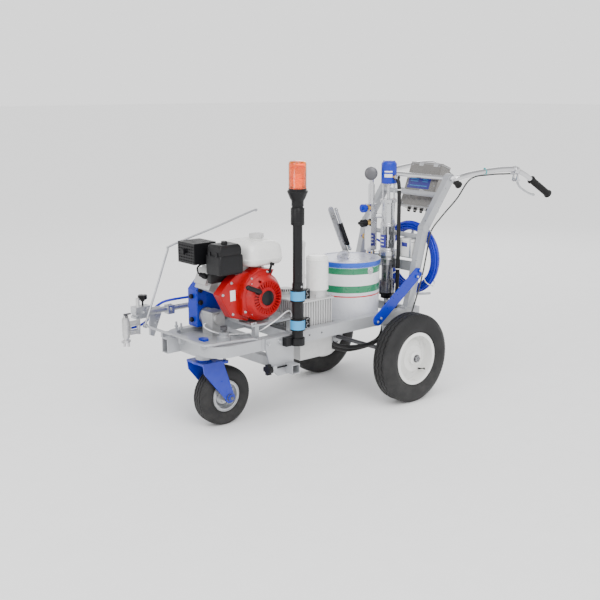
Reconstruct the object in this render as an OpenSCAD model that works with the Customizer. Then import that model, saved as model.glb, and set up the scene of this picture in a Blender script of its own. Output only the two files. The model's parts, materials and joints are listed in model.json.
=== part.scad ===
// Walk-behind airless line striping machine.
// X runs forward to the caster, Y to the left side of the machine, Z up from the ground.
// Inside the modules x = 0 is the rear axle; place() moves the whole machine so that
// the origin is the middle of its footprint.

/* [Frame] */
// Half of the width across the outside of the two main rails
rail_out = 200; // [195:1:205]
// Width of a main rail tube
rail_w = 40; // [36:1:42]
// Height of a main rail tube
rail_h = 50; // [44:1:52]
// Height of the underside of the main rails above the ground
rail_z = 345; // [343:1:347]
// Length of the main rails ahead of the rear axle
rail_front = 765; // [762:1:768]
// Wall thickness of the open tube ends
tube_wall = 3; // [2:0.5:4]

/* [Wheels] */
// Outside radius of the rear pneumatic tyres
tyre_r = 203; // [195:1:205]
// Section width of the rear tyres
tyre_w = 100; // [90:1:100]
// Distance of each rear tyre's centre plane from the middle of the machine
tyre_y = 305; // [303:1:307]
// Radius of the rear rims at the bead
rim_r = 112; // [105:1:118]
// Diameter of the rear axle
axle_d = 20; // [16:1:24]
// Outside radius of the caster tyre
caster_r = 127; // [118:1:128]
// Section width of the caster tyre
caster_w = 80; // [70:1:82]
// Distance of the caster wheel behind its swivel axis
caster_trail = 87; // [80:1:90]
// Distance of the swivel axis ahead of the rear axle
swivel_x = 915; // [912:1:918]

/* [Engine] */
// Distance of the crankshaft ahead of the rear axle
crank_x = 706; // [704:1:708]
// Height of the engine's mounting face above the ground
engine_z = 446; // [444:1:448]
// Height of the crankshaft above the engine's mounting face
crank_h = 106; // [104:1:108]
// Diameter of the engine's output shaft
shaft_d = 20; // [18:1:22]

/* [Paint] */
// Outside radius of the paint pail
pail_r = 145; // [135:1:146]
// Height of the paint pail without its lid
pail_h = 276; // [250:1:285]
// Distance of the pail's axis ahead of the rear axle
pail_x = 100; // [98:1:104]
// Distance of the paint pump's axis behind the rear axle
pump_back = 135; // [134:1:137]
// Outside diameter of the paint hose
hose_d = 11; // [9:1:12]

/* [Beacon] */
// Diameter of the lower beacon pole
pole_d = 46; // [44:1:48]
// Diameter of the upper, sliding beacon pole
pole_top_d = 40; // [36:1:40]

/* [Handle] */
// Diameter of the handlebar tube
bar_d = 25; // [22:1:28]
// Diameter of the rubber grips
grip_d = 34; // [32:1:38]

/* [Hidden] */
$fn = 48;
gap = 0.3;
fit = 0.05;
rail_top = rail_z + rail_h;
rail_in = rail_out - rail_w;
crank_z = engine_z + crank_h;
pump_x = -pump_back;
pump_y = 20;
pail_z = rail_z + 5;
nose_x = 1000;
nose_r = 90;
nose_t = 36;
nose_out = rail_out - 2;
caster_x = swivel_x - caster_trail;
deck_z = rail_z + 27;
post_y = 185;
post_foot = [-105, 0, rail_top];
post_knee = [-200, 0, 755];
post_top = [-356, 0, 961];
cross_bar = [-366, 0, 974];
box_lean = 21.5;
brake_pivot = [-776, 948];
box_foot = [-337, 0, 826];
ct_x = 632;
ct_z = 256;
ct_w = 40;
arm_y = -300;
arm_z = 455;
pivot = [1020, -276, 404];
pole_x = 605;
pole_y = 232;
lever_foot = [-118, 0, 440];
coil_c = [-262, 62, 600];
coil_r = 152;
coil_t = 29;
hub_r = 28;
drum_r = 52;
pulley_x = 816;
pulley_z = 446;
belt_y = -150;
x_mid = 45.2;

// Moves the machine so that the origin lies under the middle of its length.
module place() translate([-x_mid, 0, 0]) children();

// A cylinder from point a to point b.
module rod(a, b, d) {
    v = b - a;
    l = norm(v);
    translate(a) rotate([0, acos(v[2] / l), atan2(v[1], v[0])]) cylinder(d = d, h = l);
}

// A round-ended bar from point a to point b.
module capsule(a, b, d) {
    v = b - a;
    l = norm(v);
    r = d / 2;
    translate(a) rotate([0, acos(v[2] / l), atan2(v[1], v[0])]) rotate_extrude() polygon(concat(
        [[0, 0]], [for (t = [15:15:90]) [r * sin(t), r - r * cos(t)]],
        [for (t = [90:-15:15]) [r * sin(t), l - r + r * cos(t)]], [[0, l]]));
}

// A cylinder along Y from y0 to y1 about the line x, z.
module y_rod(x, z, y0, y1, d) translate([x, y0, z]) rotate([-90, 0, 0]) cylinder(d = d, h = y1 - y0);

// A cylinder along X from x0 to x1 about the line y, z.
module x_rod(x0, x1, y, z, d) translate([x0, y, z]) rotate([0, 90, 0]) cylinder(d = d, h = x1 - x0);

// A box given by its lowest and highest corners.
module block(a, b) translate(a) cube(b - a);

// A rectangular bar between two points of one XZ plane, wy wide across Y and tx deep.
module lean_bar(a, b, wy, tx) {
    v = b - a;
    translate(a) rotate([0, atan2(v[0], v[2]), 0]) translate([-tx / 2, -wy / 2, 0])
        cube([tx, wy, norm(v)]);
}

// A plate of an XZ outline, from y0 to y0 + t.
module plate_xz(y0, t) translate([0, y0 + t, 0]) rotate([90, 0, 0]) linear_extrude(t) children();

// A turned piece about a line along Y through c. The outline is (radius, distance along Y).
module turn_y(c) translate(c) rotate([-90, 0, 0]) rotate_extrude() children();

// The same piece on both sides of the machine.
module both_sides() {
    children();
    mirror([0, 1, 0]) children();
}

// A round-ended bar outline from a to b, w wide.
module bar_2d(a, b, w) {
    turn = atan2(b[1] - a[1], b[0] - a[0]);
    polygon(concat([for (t = [90:7.5:270]) a + w / 2 * [cos(t + turn), sin(t + turn)]],
        [for (t = [-90:7.5:90]) b + w / 2 * [cos(t + turn), sin(t + turn)]]));
}

// A flat rectangle with true round corners.
module round_rect(size, r) {
    translate([r, 0]) square([size[0] - 2 * r, size[1]]);
    translate([0, r]) square([size[0], size[1] - 2 * r]);
    for (x = [r, size[0] - r], y = [r, size[1] - r]) translate([x, y]) circle(r);
}

function se(v, n) = sign(v) * pow(abs(v), 2 / n);

// A pneumatic tyre's section: a rounded square carcass on a flat bead, with grooves.
module tyre_section(r_out, r_in, w) {
    rc = (r_out + r_in) / 2;
    hr = (r_out - r_in) / 2;
    difference() {
        polygon(concat(
            [[r_in, 0.36 * w], [r_in, -0.36 * w]],
            [for (t = [230:-8:-50]) [rc + hr * se(sin(t), 2.6), w / 2 * se(cos(t), 2.6)]]));
        for (k = [-1, 0, 1]) translate([r_out - 3, k * 0.2 * w - 2]) square([6, 4]);
    }
}

// A four-lobed star knob with its axis along +Z, from z = 0 up.
module star_knob(d, h) {
    difference() {
        cylinder(d = d, h = h);
        for (a = [45:90:315]) rotate(a) translate([d * 0.53, 0, -1]) cylinder(d = d * 0.34, h = h + 2);
    }
}

// ---- frame ----

module main_frame() color("silver") {
    difference() {
        union() {
            both_sides() {
                block([-170, rail_in, rail_z], [rail_front, rail_out, rail_top]);
                plate_xz(176, 12) difference() {
                    polygon([[-60, rail_z + 20], [60, rail_z + 20], [28, tyre_r - 24],
                        [-28, tyre_r - 24]]);
                    translate([0, tyre_r]) circle(d = axle_d);
                }
                plate_xz(rail_out, 6) difference() {
                    polygon([[605, 228], [690, 228], [726, 262], [752, 350], [752, rail_top - 4],
                        [605, rail_top - 4]]);
                    translate([ct_x - ct_w / 2 - 0.5, ct_z - ct_w / 2 - 0.5]) square(ct_w + 1);
                }
            }
            for (x = [-170, 262, 540, rail_front - 40])
                block([x, -rail_in, rail_z], [x + (x < 0 ? 20 : 40), rail_in, rail_top - 10]);
            block([-60, -rail_in, rail_z], [262, rail_in, pail_z]);
            block([712, rail_out, 256], [732, rail_out + 28, 280]);
            block([650, -rail_out - 34, rail_z + 10], [700, -rail_out, 440]);
            block([650, arm_y + 22, 433], [700, -rail_out - 4, 457]);
            block([650, arm_y - 22, 433], [700, arm_y + 22, 477]);
        }
        x_rod(640, 710, arm_y, arm_z, 25 + 2 * fit);
        x_rod(705, 740, rail_out + 17, 268, 8 + 2 * fit);
        for (x = [511, 442]) y_rod(x, rail_z + rail_h / 2, rail_out - 18, rail_out + 1, 9);
        block([-180, rail_in + tube_wall, rail_z + tube_wall], [-140, rail_out - tube_wall,
            rail_top - tube_wall]);
        block([-180, -rail_out + tube_wall, rail_z + tube_wall], [-140, -rail_in - tube_wall,
            rail_top - tube_wall]);
    }
}

// The nose's outline seen from above, r in from its outer faces.
module nose_2d(r) {
    w = nose_out - r;
    q = nose_r - r;
    c = nose_x - nose_r;
    polygon(concat([[rail_front, -w]], [for (t = [-90:7.5:0]) [c + q * cos(t),
        nose_r - nose_out + q * sin(t)]],
        [for (t = [0:7.5:90]) [c + q * cos(t), nose_out - nose_r + q * sin(t)]], [[rail_front, w]]));
}

module nose_frame() color("silver") {
    difference() {
        union() {
            translate([0, 0, rail_z + 2]) linear_extrude(rail_h - 4) difference() {
                nose_2d(0);
                nose_2d(nose_t);
            }
            translate([0, 0, deck_z]) linear_extrude(4) nose_2d(nose_t - 1);
            block([860, -60, rail_z - 10], [nose_x - 4, 60, rail_z + 2]);
            block([870, -40, rail_z + 2], [964, 40, deck_z]);
            translate([swivel_x, 0, 300]) cylinder(d = 70, h = rail_z - 302);
            difference() {
                block([nose_x - 4, -90, 335], [1058, -50, 396]);
                block([nose_x + 1, -90 + tube_wall, 335 + tube_wall], [1060, -50 - tube_wall,
                    396 - tube_wall]);
            }
            translate([855, 60, deck_z + 4]) cylinder(d = 58, h = 20);
            translate([855, 60, deck_z + 24]) cylinder(d = 40, h = 18);
            for (y = [-150, -20, 120]) block([nose_x - 6, y, 380], [1025, y + 14, 401]);
            y_rod(pivot[0], pivot[2], pivot[1] - 9, -230, 9);
            tube(curve([[pivot[0], -240, pivot[2]], [1020, 0, 404], [1020, 140, 404], [1010, 162, 404],
                [960, 170, 404],
                [880, 180, 403], [800, 188, 400], [780, 188, 388]], 3), 11, 12);
            for (y = [-176, -140]) translate([930, y, rail_top - 3]) cylinder(d = 9, h = 34);
            for (y = [-176, -140]) translate([930, y, rail_top + 8]) cylinder(d = 18, h = 7, $fn = 6);
        }
        translate([swivel_x, 0, 290]) cylinder(d = 30 + 2 * fit, h = 100);
        translate([855, 60, rail_z - 12]) cylinder(d = 12 + 2 * fit, h = 120);
    }
}

module rear_axle() color("dimgray") {
    y_rod(0, tyre_r, -tyre_y - 49, tyre_y + 49, axle_d);
    both_sides() {
        y_rod(0, tyre_r, tyre_y + 38.5, tyre_y + 40.5, 36);
        translate([0, tyre_y + 40.5, tyre_r]) rotate([-90, 0, 0]) cylinder(d = 32, h = 7, $fn = 6);
        turn_y([0, 188, tyre_r]) polygon([[axle_d / 2 - 1, 0], [18, 0], [18, 30], [drum_r + 9, 30],
            [drum_r + 9, 62],
            [drum_r + 3, 62], [drum_r + 3, 34], [axle_d / 2 - 1, 34]]);
    }
}

module handle_posts() color("gainsboro") {
    tie_foot = [-190, 0, 716];
    both_sides() translate([0, post_y, 0]) {
        difference() {
            lean_bar(post_foot + [2.6, 0, -10], post_knee, 30, 40);
            block([-300, -20, 300], [0, 20, rail_top]);
        }
        lean_bar(post_knee, post_top, 30, 40);
        y_rod(post_knee[0], post_knee[2], -15.5, 15.5, 45);
        block([-140, -18, rail_top], [-70, 18, rail_top + 8]);
        difference() {
            y_rod(cross_bar[0], cross_bar[2], -15, 15, 46);
            y_rod(cross_bar[0], cross_bar[2], -16, 16, bar_d);
        }
    }
    block([-178, -172, 552], [-168, 172, 598]);
    block([-215, 62, 612], [-168, 172, 620]);
    y_rod(tie_foot[0], tie_foot[2], -172, 172, 22);
    y_rod(-306, 900, -172, 172, 24);
    translate(box_foot) rotate([0, -box_lean, 0]) for (y = [-66, 54]) block([1.5, y, 60],
        [60, y + 12, 76]);
    for (y = [coil_c[1] - 50, coil_c[1] + 50]) {
        rod([-186, y, 712], [-312, y, 697], 12);
        rod([-309, y, 690], [-322, y, 728], 14);
    }
    rod([-136, 172, 450], [-296, 150, 430], 12);
    block([-133, -172, rail_top + 3], [-97, -163, 458]);
    y_rod(lever_foot[0], lever_foot[2], -166, -146, 10);
    translate([lever_foot[0], -155.5, lever_foot[2]]) rotate([-90, 0, 0]) cylinder(d = 19, h = 7,
        $fn = 6);
}

module side_braces() color("royalblue") both_sides() {
    difference() {
        plate_xz(rail_out, 6) bar_2d([-146, 552], [106, 372], 54);
        for (p = [[-154, 566], [-138, 540], [96, 380], [116, 366]]) y_rod(p[0], p[1], rail_out - 1,
            rail_out + 7, 9);
    }
    for (p = [[-154, 566], [-138, 540], [96, 380], [116, 366]])
        translate([p[0], rail_out + 6, p[1]]) rotate([-90, 0, 0]) cylinder(d = 17, h = 6, $fn = 6);
}

// ---- wheels ----

module rear_tyre() turn_y([0, tyre_y, tyre_r]) tyre_section(tyre_r, rim_r, tyre_w);

module rear_rim() {
    difference() {
        turn_y([0, tyre_y, tyre_r]) {
            polygon([[rim_r - 6, -36.3], [rim_r, -36.3], [rim_r, 36.3], [rim_r - 6, 36.3]]);
            for (s = [-1, 1]) polygon([[rim_r - 8, s * 35], [rim_r - 8, s * 40], [rim_r + 7, s * 40],
                [rim_r + 7, s * 36.3],
                [rim_r - 4, s * 36]]);
            polygon([[hub_r - 2, 14], [60, 14], [rim_r - 22, -8], [rim_r - 4, -8], [rim_r - 4, -14],
                [rim_r - 26, -14],
                [56, 8], [hub_r - 2, 8]]);
            polygon([[8, -44], [hub_r, -44], [hub_r, 30], [22, 38], [8, 38]]);
            polygon([[8, -82], [drum_r, -82], [drum_r, -54], [drum_r - 6, -54], [drum_r - 6, -76],
                [hub_r, -76],
                [hub_r, -43], [8, -43]]);
        }
        y_rod(0, tyre_r, tyre_y - 90, tyre_y + 50, axle_d + 2 * fit);
    }
    rod([-68, tyre_y - 12, tyre_r - 76], [-58, tyre_y + 34, tyre_r - 62], 8);
}

module left_tyre() color("#242426") rear_tyre();
module right_tyre() color("#242426") mirror([0, 1, 0]) rear_tyre();
module left_rim() color("whitesmoke") rear_rim();
module right_rim() color("whitesmoke") mirror([0, 1, 0]) rear_rim();

module caster_fork() color("royalblue") {
    difference() {
        union() {
            block([swivel_x - 52, -60, 284], [swivel_x + 46, 60, 293]);
            translate([swivel_x, 0, 284]) cylinder(d = 100, h = 9);
            translate([0, 0, 284]) linear_extrude(9) bar_2d([swivel_x, 0], [855, 60], 34);
            both_sides() plate_xz(caster_w / 2 + 14, 6) {
                polygon([[swivel_x - 52, 293], [swivel_x + 46, 293], [swivel_x + 40, 250],
                    [caster_x + 23, caster_r - 5],
                    [caster_x - 21, caster_r + 8]]);
                translate([caster_x, caster_r]) circle(24);
            }
        }
        translate([855, 60, 280]) cylinder(d = 12.6, h = 20);
    }
    translate([swivel_x, 0, 293]) cylinder(d = 62, h = 6.6);
    translate([swivel_x, 0, 293]) cylinder(d = 30, h = deck_z - 293 + 12);
    translate([swivel_x, 0, deck_z + 4 + gap]) cylinder(d = 46, h = 9, $fn = 6);
    y_rod(caster_x, caster_r, -caster_w / 2 - 30, caster_w / 2 + 30, 14);
    both_sides() translate([caster_x, caster_w / 2 + 20, caster_r]) rotate([-90, 0, 0])
        cylinder(d = 30, h = 12, $fn = 6);
}

module caster_tyre() color("#2b2b2d") turn_y([caster_x, 0, caster_r]) tyre_section(caster_r, 62,
    caster_w);

module caster_rim() color("silver") difference() {
    turn_y([caster_x, 0, caster_r]) {
        polygon([[56, -29], [62, -29], [62, 29], [56, 29]]);
        for (s = [-1, 1]) polygon([[55, s * 26], [55, s * 32], [67, s * 32], [67, s * 29.2],
            [58, s * 29]]);
        for (s = [-1, 1]) polygon([[20, s * 12], [38, s * 12], [48, s * 5], [58, s * 5], [58, s * 1],
            [46, s * 1],
            [36, s * 8], [20, s * 8]]);
        polygon([[6, -52], [22, -52], [22, 52], [6, 52]]);
    }
    y_rod(caster_x, caster_r, -60, 60, 14 + 2 * fit);
}

module swivel_lock() color("dimgray") {
    translate([855, 60, 298]) cylinder(d = 12, h = 140);
    translate([855, 60, 424]) cylinder(d = 30, h = 14);
}

// ---- engine ----

module engine_mount() color("silver") {
    difference() {
        block([590, -108, engine_z - 8], [780, 150, engine_z]);
        for (x = [640, 760], y = [-60, 100]) translate([x, y, engine_z - 10]) cylinder(d = 9, h = 12);
    }
    for (y = [-96, 136]) {
        block([742, y - 12, rail_top - 10], [762, y + 12, engine_z - 8]);
        block([546, y - 12, rail_top - 10], [576, y + 12, engine_z - 8]);
    }
    block([546, -108, engine_z - 8], [592, 150, engine_z]);
}

module engine_block() color("lightgray") {
    c = [crank_x, 0, crank_z];
    difference() {
        union() {
            block([612, -74, engine_z], [778, 58, engine_z + 14]);
            block([626, -70, engine_z + 14], [776, 58, crank_z + 40]);
            y_rod(crank_x, crank_z, -85, 58, 150);
            translate([crank_x, -26, crank_z]) rotate([0, 65, 0]) {
                translate([-46, -52, 50]) cube([92, 104, 24]);
                for (i = [0:6]) translate([-50, -50, 78 + 11 * i]) cube([100, 100, 5]);
                translate([-38, -44, 60]) cube([76, 88, 104]);
                translate([-50, -50, 158]) cube([100, 100, 34]);
                translate([-34, -40, 190]) cube([68, 80, 22]);
                translate([0, 30, 188]) cylinder(d = 20, h = 40);
            }
            block([806, 20, 574], [856, 58, 621]);
            y_rod(830, 592, 56, 74, 40);
            rod([830, 66, 576], [830, 66, 548], 24);
        }
        y_rod(crank_x, crank_z, -200, 100, shaft_d + 2 * fit);
        block([crank_x - 46, -60, crank_z - 46], [crank_x + 46, 40, crank_z + 43]);
    }
}

// The flat cover beside the leaning cylinder, r in from its edge.
module cylinder_cover_2d(r) translate([crank_x, crank_z]) polygon([[0, 104 - r], [112 - r / 2, 101 - r],
    [153 - r, 73 - r / 2], [198 - 1.4 * r, 27], [170 - r, r / 2 - 23], [141 - r, r - 73], [60,
    r - 97], [0, r - 60]]);

module engine_shroud() color("red") {
    difference() {
        union() {
            turn_y([crank_x, 58, crank_z]) polygon([[0, 0], [102, 0], [104, 30], [100, 66], [90, 76],
                [0, 76]]);
            plate_xz(58, 66) polygon([[crank_x + 10, crank_z + 118], [crank_x - 64, crank_z + 106],
                [crank_x, crank_z], [crank_x + 70, crank_z - 78], [crank_x + 100, crank_z - 64],
                [crank_x + 102, crank_z + 6], [crank_x + 90, crank_z + 62], [crank_x + 66,
                crank_z + 90]]);
            plate_xz(58, 42) cylinder_cover_2d(0);
        }
        turn_y([crank_x, 57, crank_z]) polygon([[0, 0], [94, 0], [94, 62], [84, 72], [0, 72]]);
        y_rod(crank_x, crank_z, 100, 140, 132);
        plate_xz(50, 68) polygon([[crank_x + 4, crank_z + 98], [crank_x - 30, crank_z + 84],
            [crank_x, crank_z],
            [crank_x + 66, crank_z - 70], [crank_x + 95, crank_z - 58], [crank_x + 97, crank_z + 6],
            [crank_x + 84, crank_z + 58], [crank_x + 62, crank_z + 82]]);
        plate_xz(50, 46) cylinder_cover_2d(5);
    }
}

module recoil_cover() color("firebrick") {
    difference() {
        turn_y([crank_x, 134, crank_z]) polygon([[0, 0], [92, 0], [92, 4], [80, 22], [74, 28], [0, 28]]);
        turn_y([crank_x, 133, crank_z]) polygon([[0, 0], [82, 0], [70, 22], [0, 22]]);
        for (a = [0:12:348]) translate([crank_x, 0, crank_z]) rotate([0, a, 0]) block([44, 150, -2],
            [68, 170, 2]);
        translate([crank_x + 34, 0, crank_z + 70]) y_rod(0, 0, 120, 170, 12);
    }
}

module recoil_handle() color("#1c1c1c") {
    capsule([crank_x + 40, 174, crank_z + 30], [crank_x + 116, 172, crank_z + 63], 21);
}

module fuel_tank() color("whitesmoke") {
    tank_foot = 676;
    difference() {
        translate([576, -90, tank_foot + 8]) {
            linear_extrude(78) round_rect([190, 212], 34);
            translate([12, 12, 78]) linear_extrude(12) round_rect([166, 188], 26);
            translate([10, 10, -8]) linear_extrude(8) round_rect([170, 192], 26);
        }
        translate([584, -82, tank_foot + 12]) linear_extrude(70) round_rect([174, 196], 28);
    }
    translate([650, 20, 774]) difference() {
        cylinder(d = 50, h = 6);
        translate([0, 0, -1]) cylinder(d = 40, h = 8);
    }
    block([627, -40, crank_z + 40], [640, 40, tank_foot]);
    block([crank_x - 9, -40, crank_z + 75], [crank_x + 11, 40, tank_foot]);
}

module fuel_cap() color("#2a2a2a") translate([650, 20, 780 + gap]) {
    cylinder(d = 58, h = 16);
    for (a = [0:30:330]) rotate(a) translate([28, 0, 0]) cylinder(d = 6, h = 16);
}

module air_cleaner() color("#1d1d1f") {
    translate([800, 28, 662]) {
        linear_extrude(80) round_rect([118, 100], 14);
        translate([4, 4, 80]) linear_extrude(40) round_rect([110, 92], 18);
    }
    translate([859, 78, 782]) cylinder(d = 24, h = 12, $fn = 6);
    block([812, 30, 621], [910, 55, 662]);
}

module muffler() color("#262626") {
    difference() {
        block([842, -118, 694], [950, -2, 780]);
        block([846, -114, 698], [946, -6, 776]);
        for (x = [856:12:940], y = [-106:12:-10]) translate([x, y, 770]) cylinder(d = 7, h = 20);
        for (y = [-106:12:-10], z = [706:12:770]) x_rod(940, 960, y, z, 7);
    }
    block([864, -104, 700], [934, -18, 756]);
    block([880, -90, 690], [920, -30, 700]);
    x_rod(930, 962, -70, 742, 20);
}

module throttle_lever() color("#202020") {
    translate([crank_x - 40, 124.3, crank_z + 101]) rotate([0, -20, 0]) {
        block([-5, 0, -4], [5, 4, 28]);
        y_rod(0, 0, 0, 7, 13);
        block([-7, 0, 26], [7, 12, 38]);
    }
}

module crankshaft() color("silver") {
    y_rod(crank_x, crank_z, -170, 100, shaft_d);
    block([crank_x - 14, -56, crank_z - 38], [crank_x + 14, -44, crank_z + 30]);
    block([crank_x - 14, 20, crank_z - 38], [crank_x + 14, 32, crank_z + 30]);
    y_rod(crank_x, crank_z, 64, 84, 150);
    for (a = [0:24:336]) translate([crank_x, 0, crank_z]) rotate([0, a, 0]) block([44, 84, -2],
        [74, 100, 2]);
    turn_y([crank_x, belt_y - 16, crank_z]) polygon([[8, 0], [44, 0], [44, 3], [34, 11], [34, 21],
        [44, 29], [44, 32],
        [8, 32]]);
}

// ---- belt drive and hydraulics ----

module drive_belt() color("#151515") {
    v = [pulley_x - crank_x, pulley_z - crank_z];
    plate_xz(belt_y - 5, 10) difference() {
        union() {
            translate([crank_x, crank_z]) circle(44);
            translate([pulley_x, pulley_z]) circle(38);
            translate([crank_x, crank_z]) rotate(atan2(v[1], v[0]))
                polygon([[0, -44], [norm(v), -38], [norm(v), 38], [0, 44]]);
        }
        translate([crank_x, crank_z]) circle(34.5);
        translate([pulley_x, pulley_z]) circle(28.5);
        translate([crank_x, crank_z]) rotate(atan2(v[1], v[0]))
            polygon([[0, -34.5], [norm(v), -28.5], [norm(v), 28.5], [0, 34.5]]);
    }
}

module driven_pulley() color("silver") difference() {
    turn_y([pulley_x, belt_y - 16, pulley_z]) {
        polygon([[8, 0], [38, 0], [38, 3], [28, 11], [28, 21], [38, 29], [38, 32], [16, 32], [16, 36],
            [8, 36]]);
    }
    y_rod(pulley_x, pulley_z, -180, -100, 18 + 2 * fit);
}

module hydraulic_pump() color("gray") {
    y_rod(pulley_x, pulley_z, -168, -118, 18);
    y_rod(pulley_x, pulley_z, -118.5, -106, 70);
    block([pulley_x - 31, -106, pulley_z - 32], [pulley_x + 32, -30, pulley_z + 30]);
    y_rod(pulley_x, pulley_z, -30, -18, 50);
    block([pulley_x - 30, -104, deck_z + 4], [pulley_x + 30, -34, pulley_z - 32]);
}

module guard_2d(r) {
    polygon([[640 + r, 520 + r], [760, 401 + r], [862 - r, 401 + r], [862 - r, 560 - r / 2],
        [808 - r, 614 - r],
        [660 + r, 614 - r], [640 + r, 598 - r]]);
}

module belt_guard() color("royalblue") {
    difference() {
        plate_xz(-184, 64) guard_2d(0);
        plate_xz(-180, 56) guard_2d(4);
        y_rod(crank_x, crank_z, -130, -110, 40);
        y_rod(pulley_x, pulley_z, -130, -110, 74);
    }
    for (z = [506, 560]) y_rod(846, z, -120, -110, 16);
    for (z = [430, 530]) x_rod(862, 870, -152, z, 16);
    block([752, -184, rail_top], [764, -160, 410]);
}

module oil_tank() color("gainsboro") {
    tank = [342, -70, 250];
    top = [524, 152, 506];
    difference() {
        union() {
            block(tank, [tank[0] + 182, 154, 340]);
            block([tank[0] + 4, -66, 338], [top[0] - 4, 150, top[2] - 4]);
            for (x = [tank[0] + 4:14:top[0] - 6]) block([x, -74, 352], [x + 5, 158, top[2] - 6]);
            for (y = [-60:14:146]) block([tank[0] - 4, y, 352], [top[0] + 4, y + 5, top[2] - 6]);
            block([tank[0] - 6, -76, top[2] - 6], [top[0] + 6, 159, top[2]]);
        }
        block([tank[0] + 8, -60, 258], [top[0] - 8, 144, top[2] - 12]);
    }
    translate([460, -20, top[2]]) cylinder(d = 46, h = 14);
    translate([460, -20, top[2] + 14]) cylinder(d = 56, h = 12);
    translate([385, 104, top[2]]) cylinder(d = 84, h = 30);
    block([350, 70, top[2]], [420, 138, top[2] + 16]);
    translate([466, 100, top[2]]) cylinder(d = 34, h = 24, $fn = 6);
    translate([466, 100, top[2] + 24]) cylinder(d = 22, h = 214);
    translate([466, 100, top[2] + 90]) cylinder(d = 30, h = 16, $fn = 6);
    translate([466, 100, top[2] + 226]) cylinder(d = 30, h = 18, $fn = 6);
    rod([466, 100, top[2] + 232], [430, 60, top[2] + 236], 18);
}

module oil_filter() color("whitesmoke") translate([385, 104, 536]) {
    rotate_extrude() polygon([[0, 0], [46, 0], [49, 5], [49, 132], [46, 142], [38, 150], [0, 152]]);
}

// ---- paint ----

module pail() color("whitesmoke") translate([pail_x, 0, pail_z]) rotate_extrude()
    polygon([[0, 0], [pail_r - 7, 0], [pail_r - 5, 3], [pail_r - 1, pail_h - 34], [pail_r, pail_h - 31],
        [pail_r, pail_h - 26], [pail_r - 1, pail_h - 23], [pail_r, pail_h], [pail_r - 3, pail_h],
        [pail_r - 8, 6], [0, 6]]);

module pail_lid() color("lavender") {
    lid_z = pail_z + pail_h;
    translate([pail_x, 0, lid_z]) rotate_extrude()
        polygon([[0, 1], [pail_r - 14, 1], [pail_r - 9, 0.2], [pail_r + 0.4, 0.2], [pail_r + 0.4, -14],
            [pail_r + 3, -14], [pail_r + 4, 2], [pail_r, 5], [pail_r - 8, 5], [pail_r - 14, 3], [0, 3]]);
    for (s = [-1, 1]) translate([pail_x + 34, s * 26, lid_z + 3]) difference() {
        block([-6, -6, 0], [6, 6, 12]);
        rotate([90, 0, 0]) translate([0, 6, -10]) cylinder(d = 5 + 2 * fit, h = 20);
    }
}

module lid_handle() color("silver") translate([pail_x + 34, 0, pail_z + pail_h + 9]) {
    y_rod(0, 0, -36, 36, 5);
    tube(curve([[1.5, -36.5, -3], [-2, -37, 3], [-8, -34, 14], [-12, -20, 22], [-14, 0, 26],
        [-12, 20, 22], [-8, 34, 14],
        [-2, 37, 3], [1.5, 36.5, -3]], 3), 6, 12);
}

module pump_head() color("dodgerblue") translate([pump_x, pump_y, 0]) {
    difference() {
        translate([0, 0, 955]) rotate_extrude()
            polygon([[0, 0], [34, 0], [36, 4], [36, 90], [32, 98], [20, 104], [0, 104]]);
        translate([0, 0, 950]) cylinder(d = 16.2, h = 90);
    }
}

module pump_column() color("silver") translate([pump_x, pump_y, 0]) {
    for (a = [45:90:315]) rotate(a) translate([26, 0, 868]) cylinder(d = 8, h = 87);
    difference() {
        union() {
            translate([0, 0, 868]) cylinder(d = 76, h = 12);
            translate([0, 0, 770]) cylinder(d = 62, h = 98);
            translate([0, 0, 640]) cylinder(d = 70, h = 130);
            translate([0, 0, 600]) cylinder(d = 84, h = 40);
            translate([0, 0, 500]) cylinder(d = 54, h = 100);
            translate([0, 0, 430]) cylinder(d = 74, h = 70);
            translate([0, 0, 412]) cylinder(d = 58, h = 18);
            block([-33, -20, 558], [-20, 20, 592]);
        }
        translate([0, 0, 480]) cylinder(d = 16 + 2 * fit, h = 420);
        block([-50, -24, 650], [50, 60, 760]);
    }
    difference() {
        translate([0, 0, 650]) cylinder(d = 68, h = 110);
        translate([0, 0, 649]) cylinder(d = 58, h = 112);
        block([-12, 0, 654], [60, 60, 756]);
    }
}

module pump_rod() color("lightsteelblue") translate([pump_x, pump_y, 0]) {
    translate([0, 0, 500]) cylinder(d = 16, h = 480);
    translate([0, 0, 690]) cylinder(d = 30, h = 26);
}

module manifold() color("silver") {
    block([-104, -62, 640], [-64, -22, 860]);
    translate([-84, -42, 860]) cylinder(d = 30, h = 90);
    translate([-84, -42, 950]) cylinder(d = 20, h = 24);
    translate([-84, -42, 560]) cylinder(d = 38, h = 80);
    for (zr = [[800, 31], [622, 42]]) difference() {
        rod([-92, -42, zr[0]], [-128, -4, zr[0]], 22);
        translate([pump_x, pump_y, zr[0] - 20]) cylinder(r = zr[1], h = 40);
    }
    rod([-84, -42, 974], [-84, -42, 990], 12);
    rod([-84, -42, 986], [-76, -38, 1000], 12);
    rod([-86, -48, 1000], [-66, -28, 1000], 58);
    translate([-84, -88, 700]) rotate([-90, 0, 0]) cylinder(d = 24, h = 26, $fn = 6);
    translate([-84, -84, 830]) rotate([-90, 0, 0]) cylinder(d = 20, h = 22);
}

module valve_handle() color("royalblue") {
    x_rod(-64 + gap, -40, -42, 840, 10);
    x_rod(-42, -26, -42, 840, 40);
    x_rod(-26, -16, -42, 840, 16);
}

module prime_knob() color("#202020") {
    x_rod(-64 + gap, -48, -42, 770, 12);
    x_rod(-48, -24, -42, 770, 36);
    block([-24, -60, 764], [-16, -24, 776]);
}

// ---- controls ----

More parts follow.
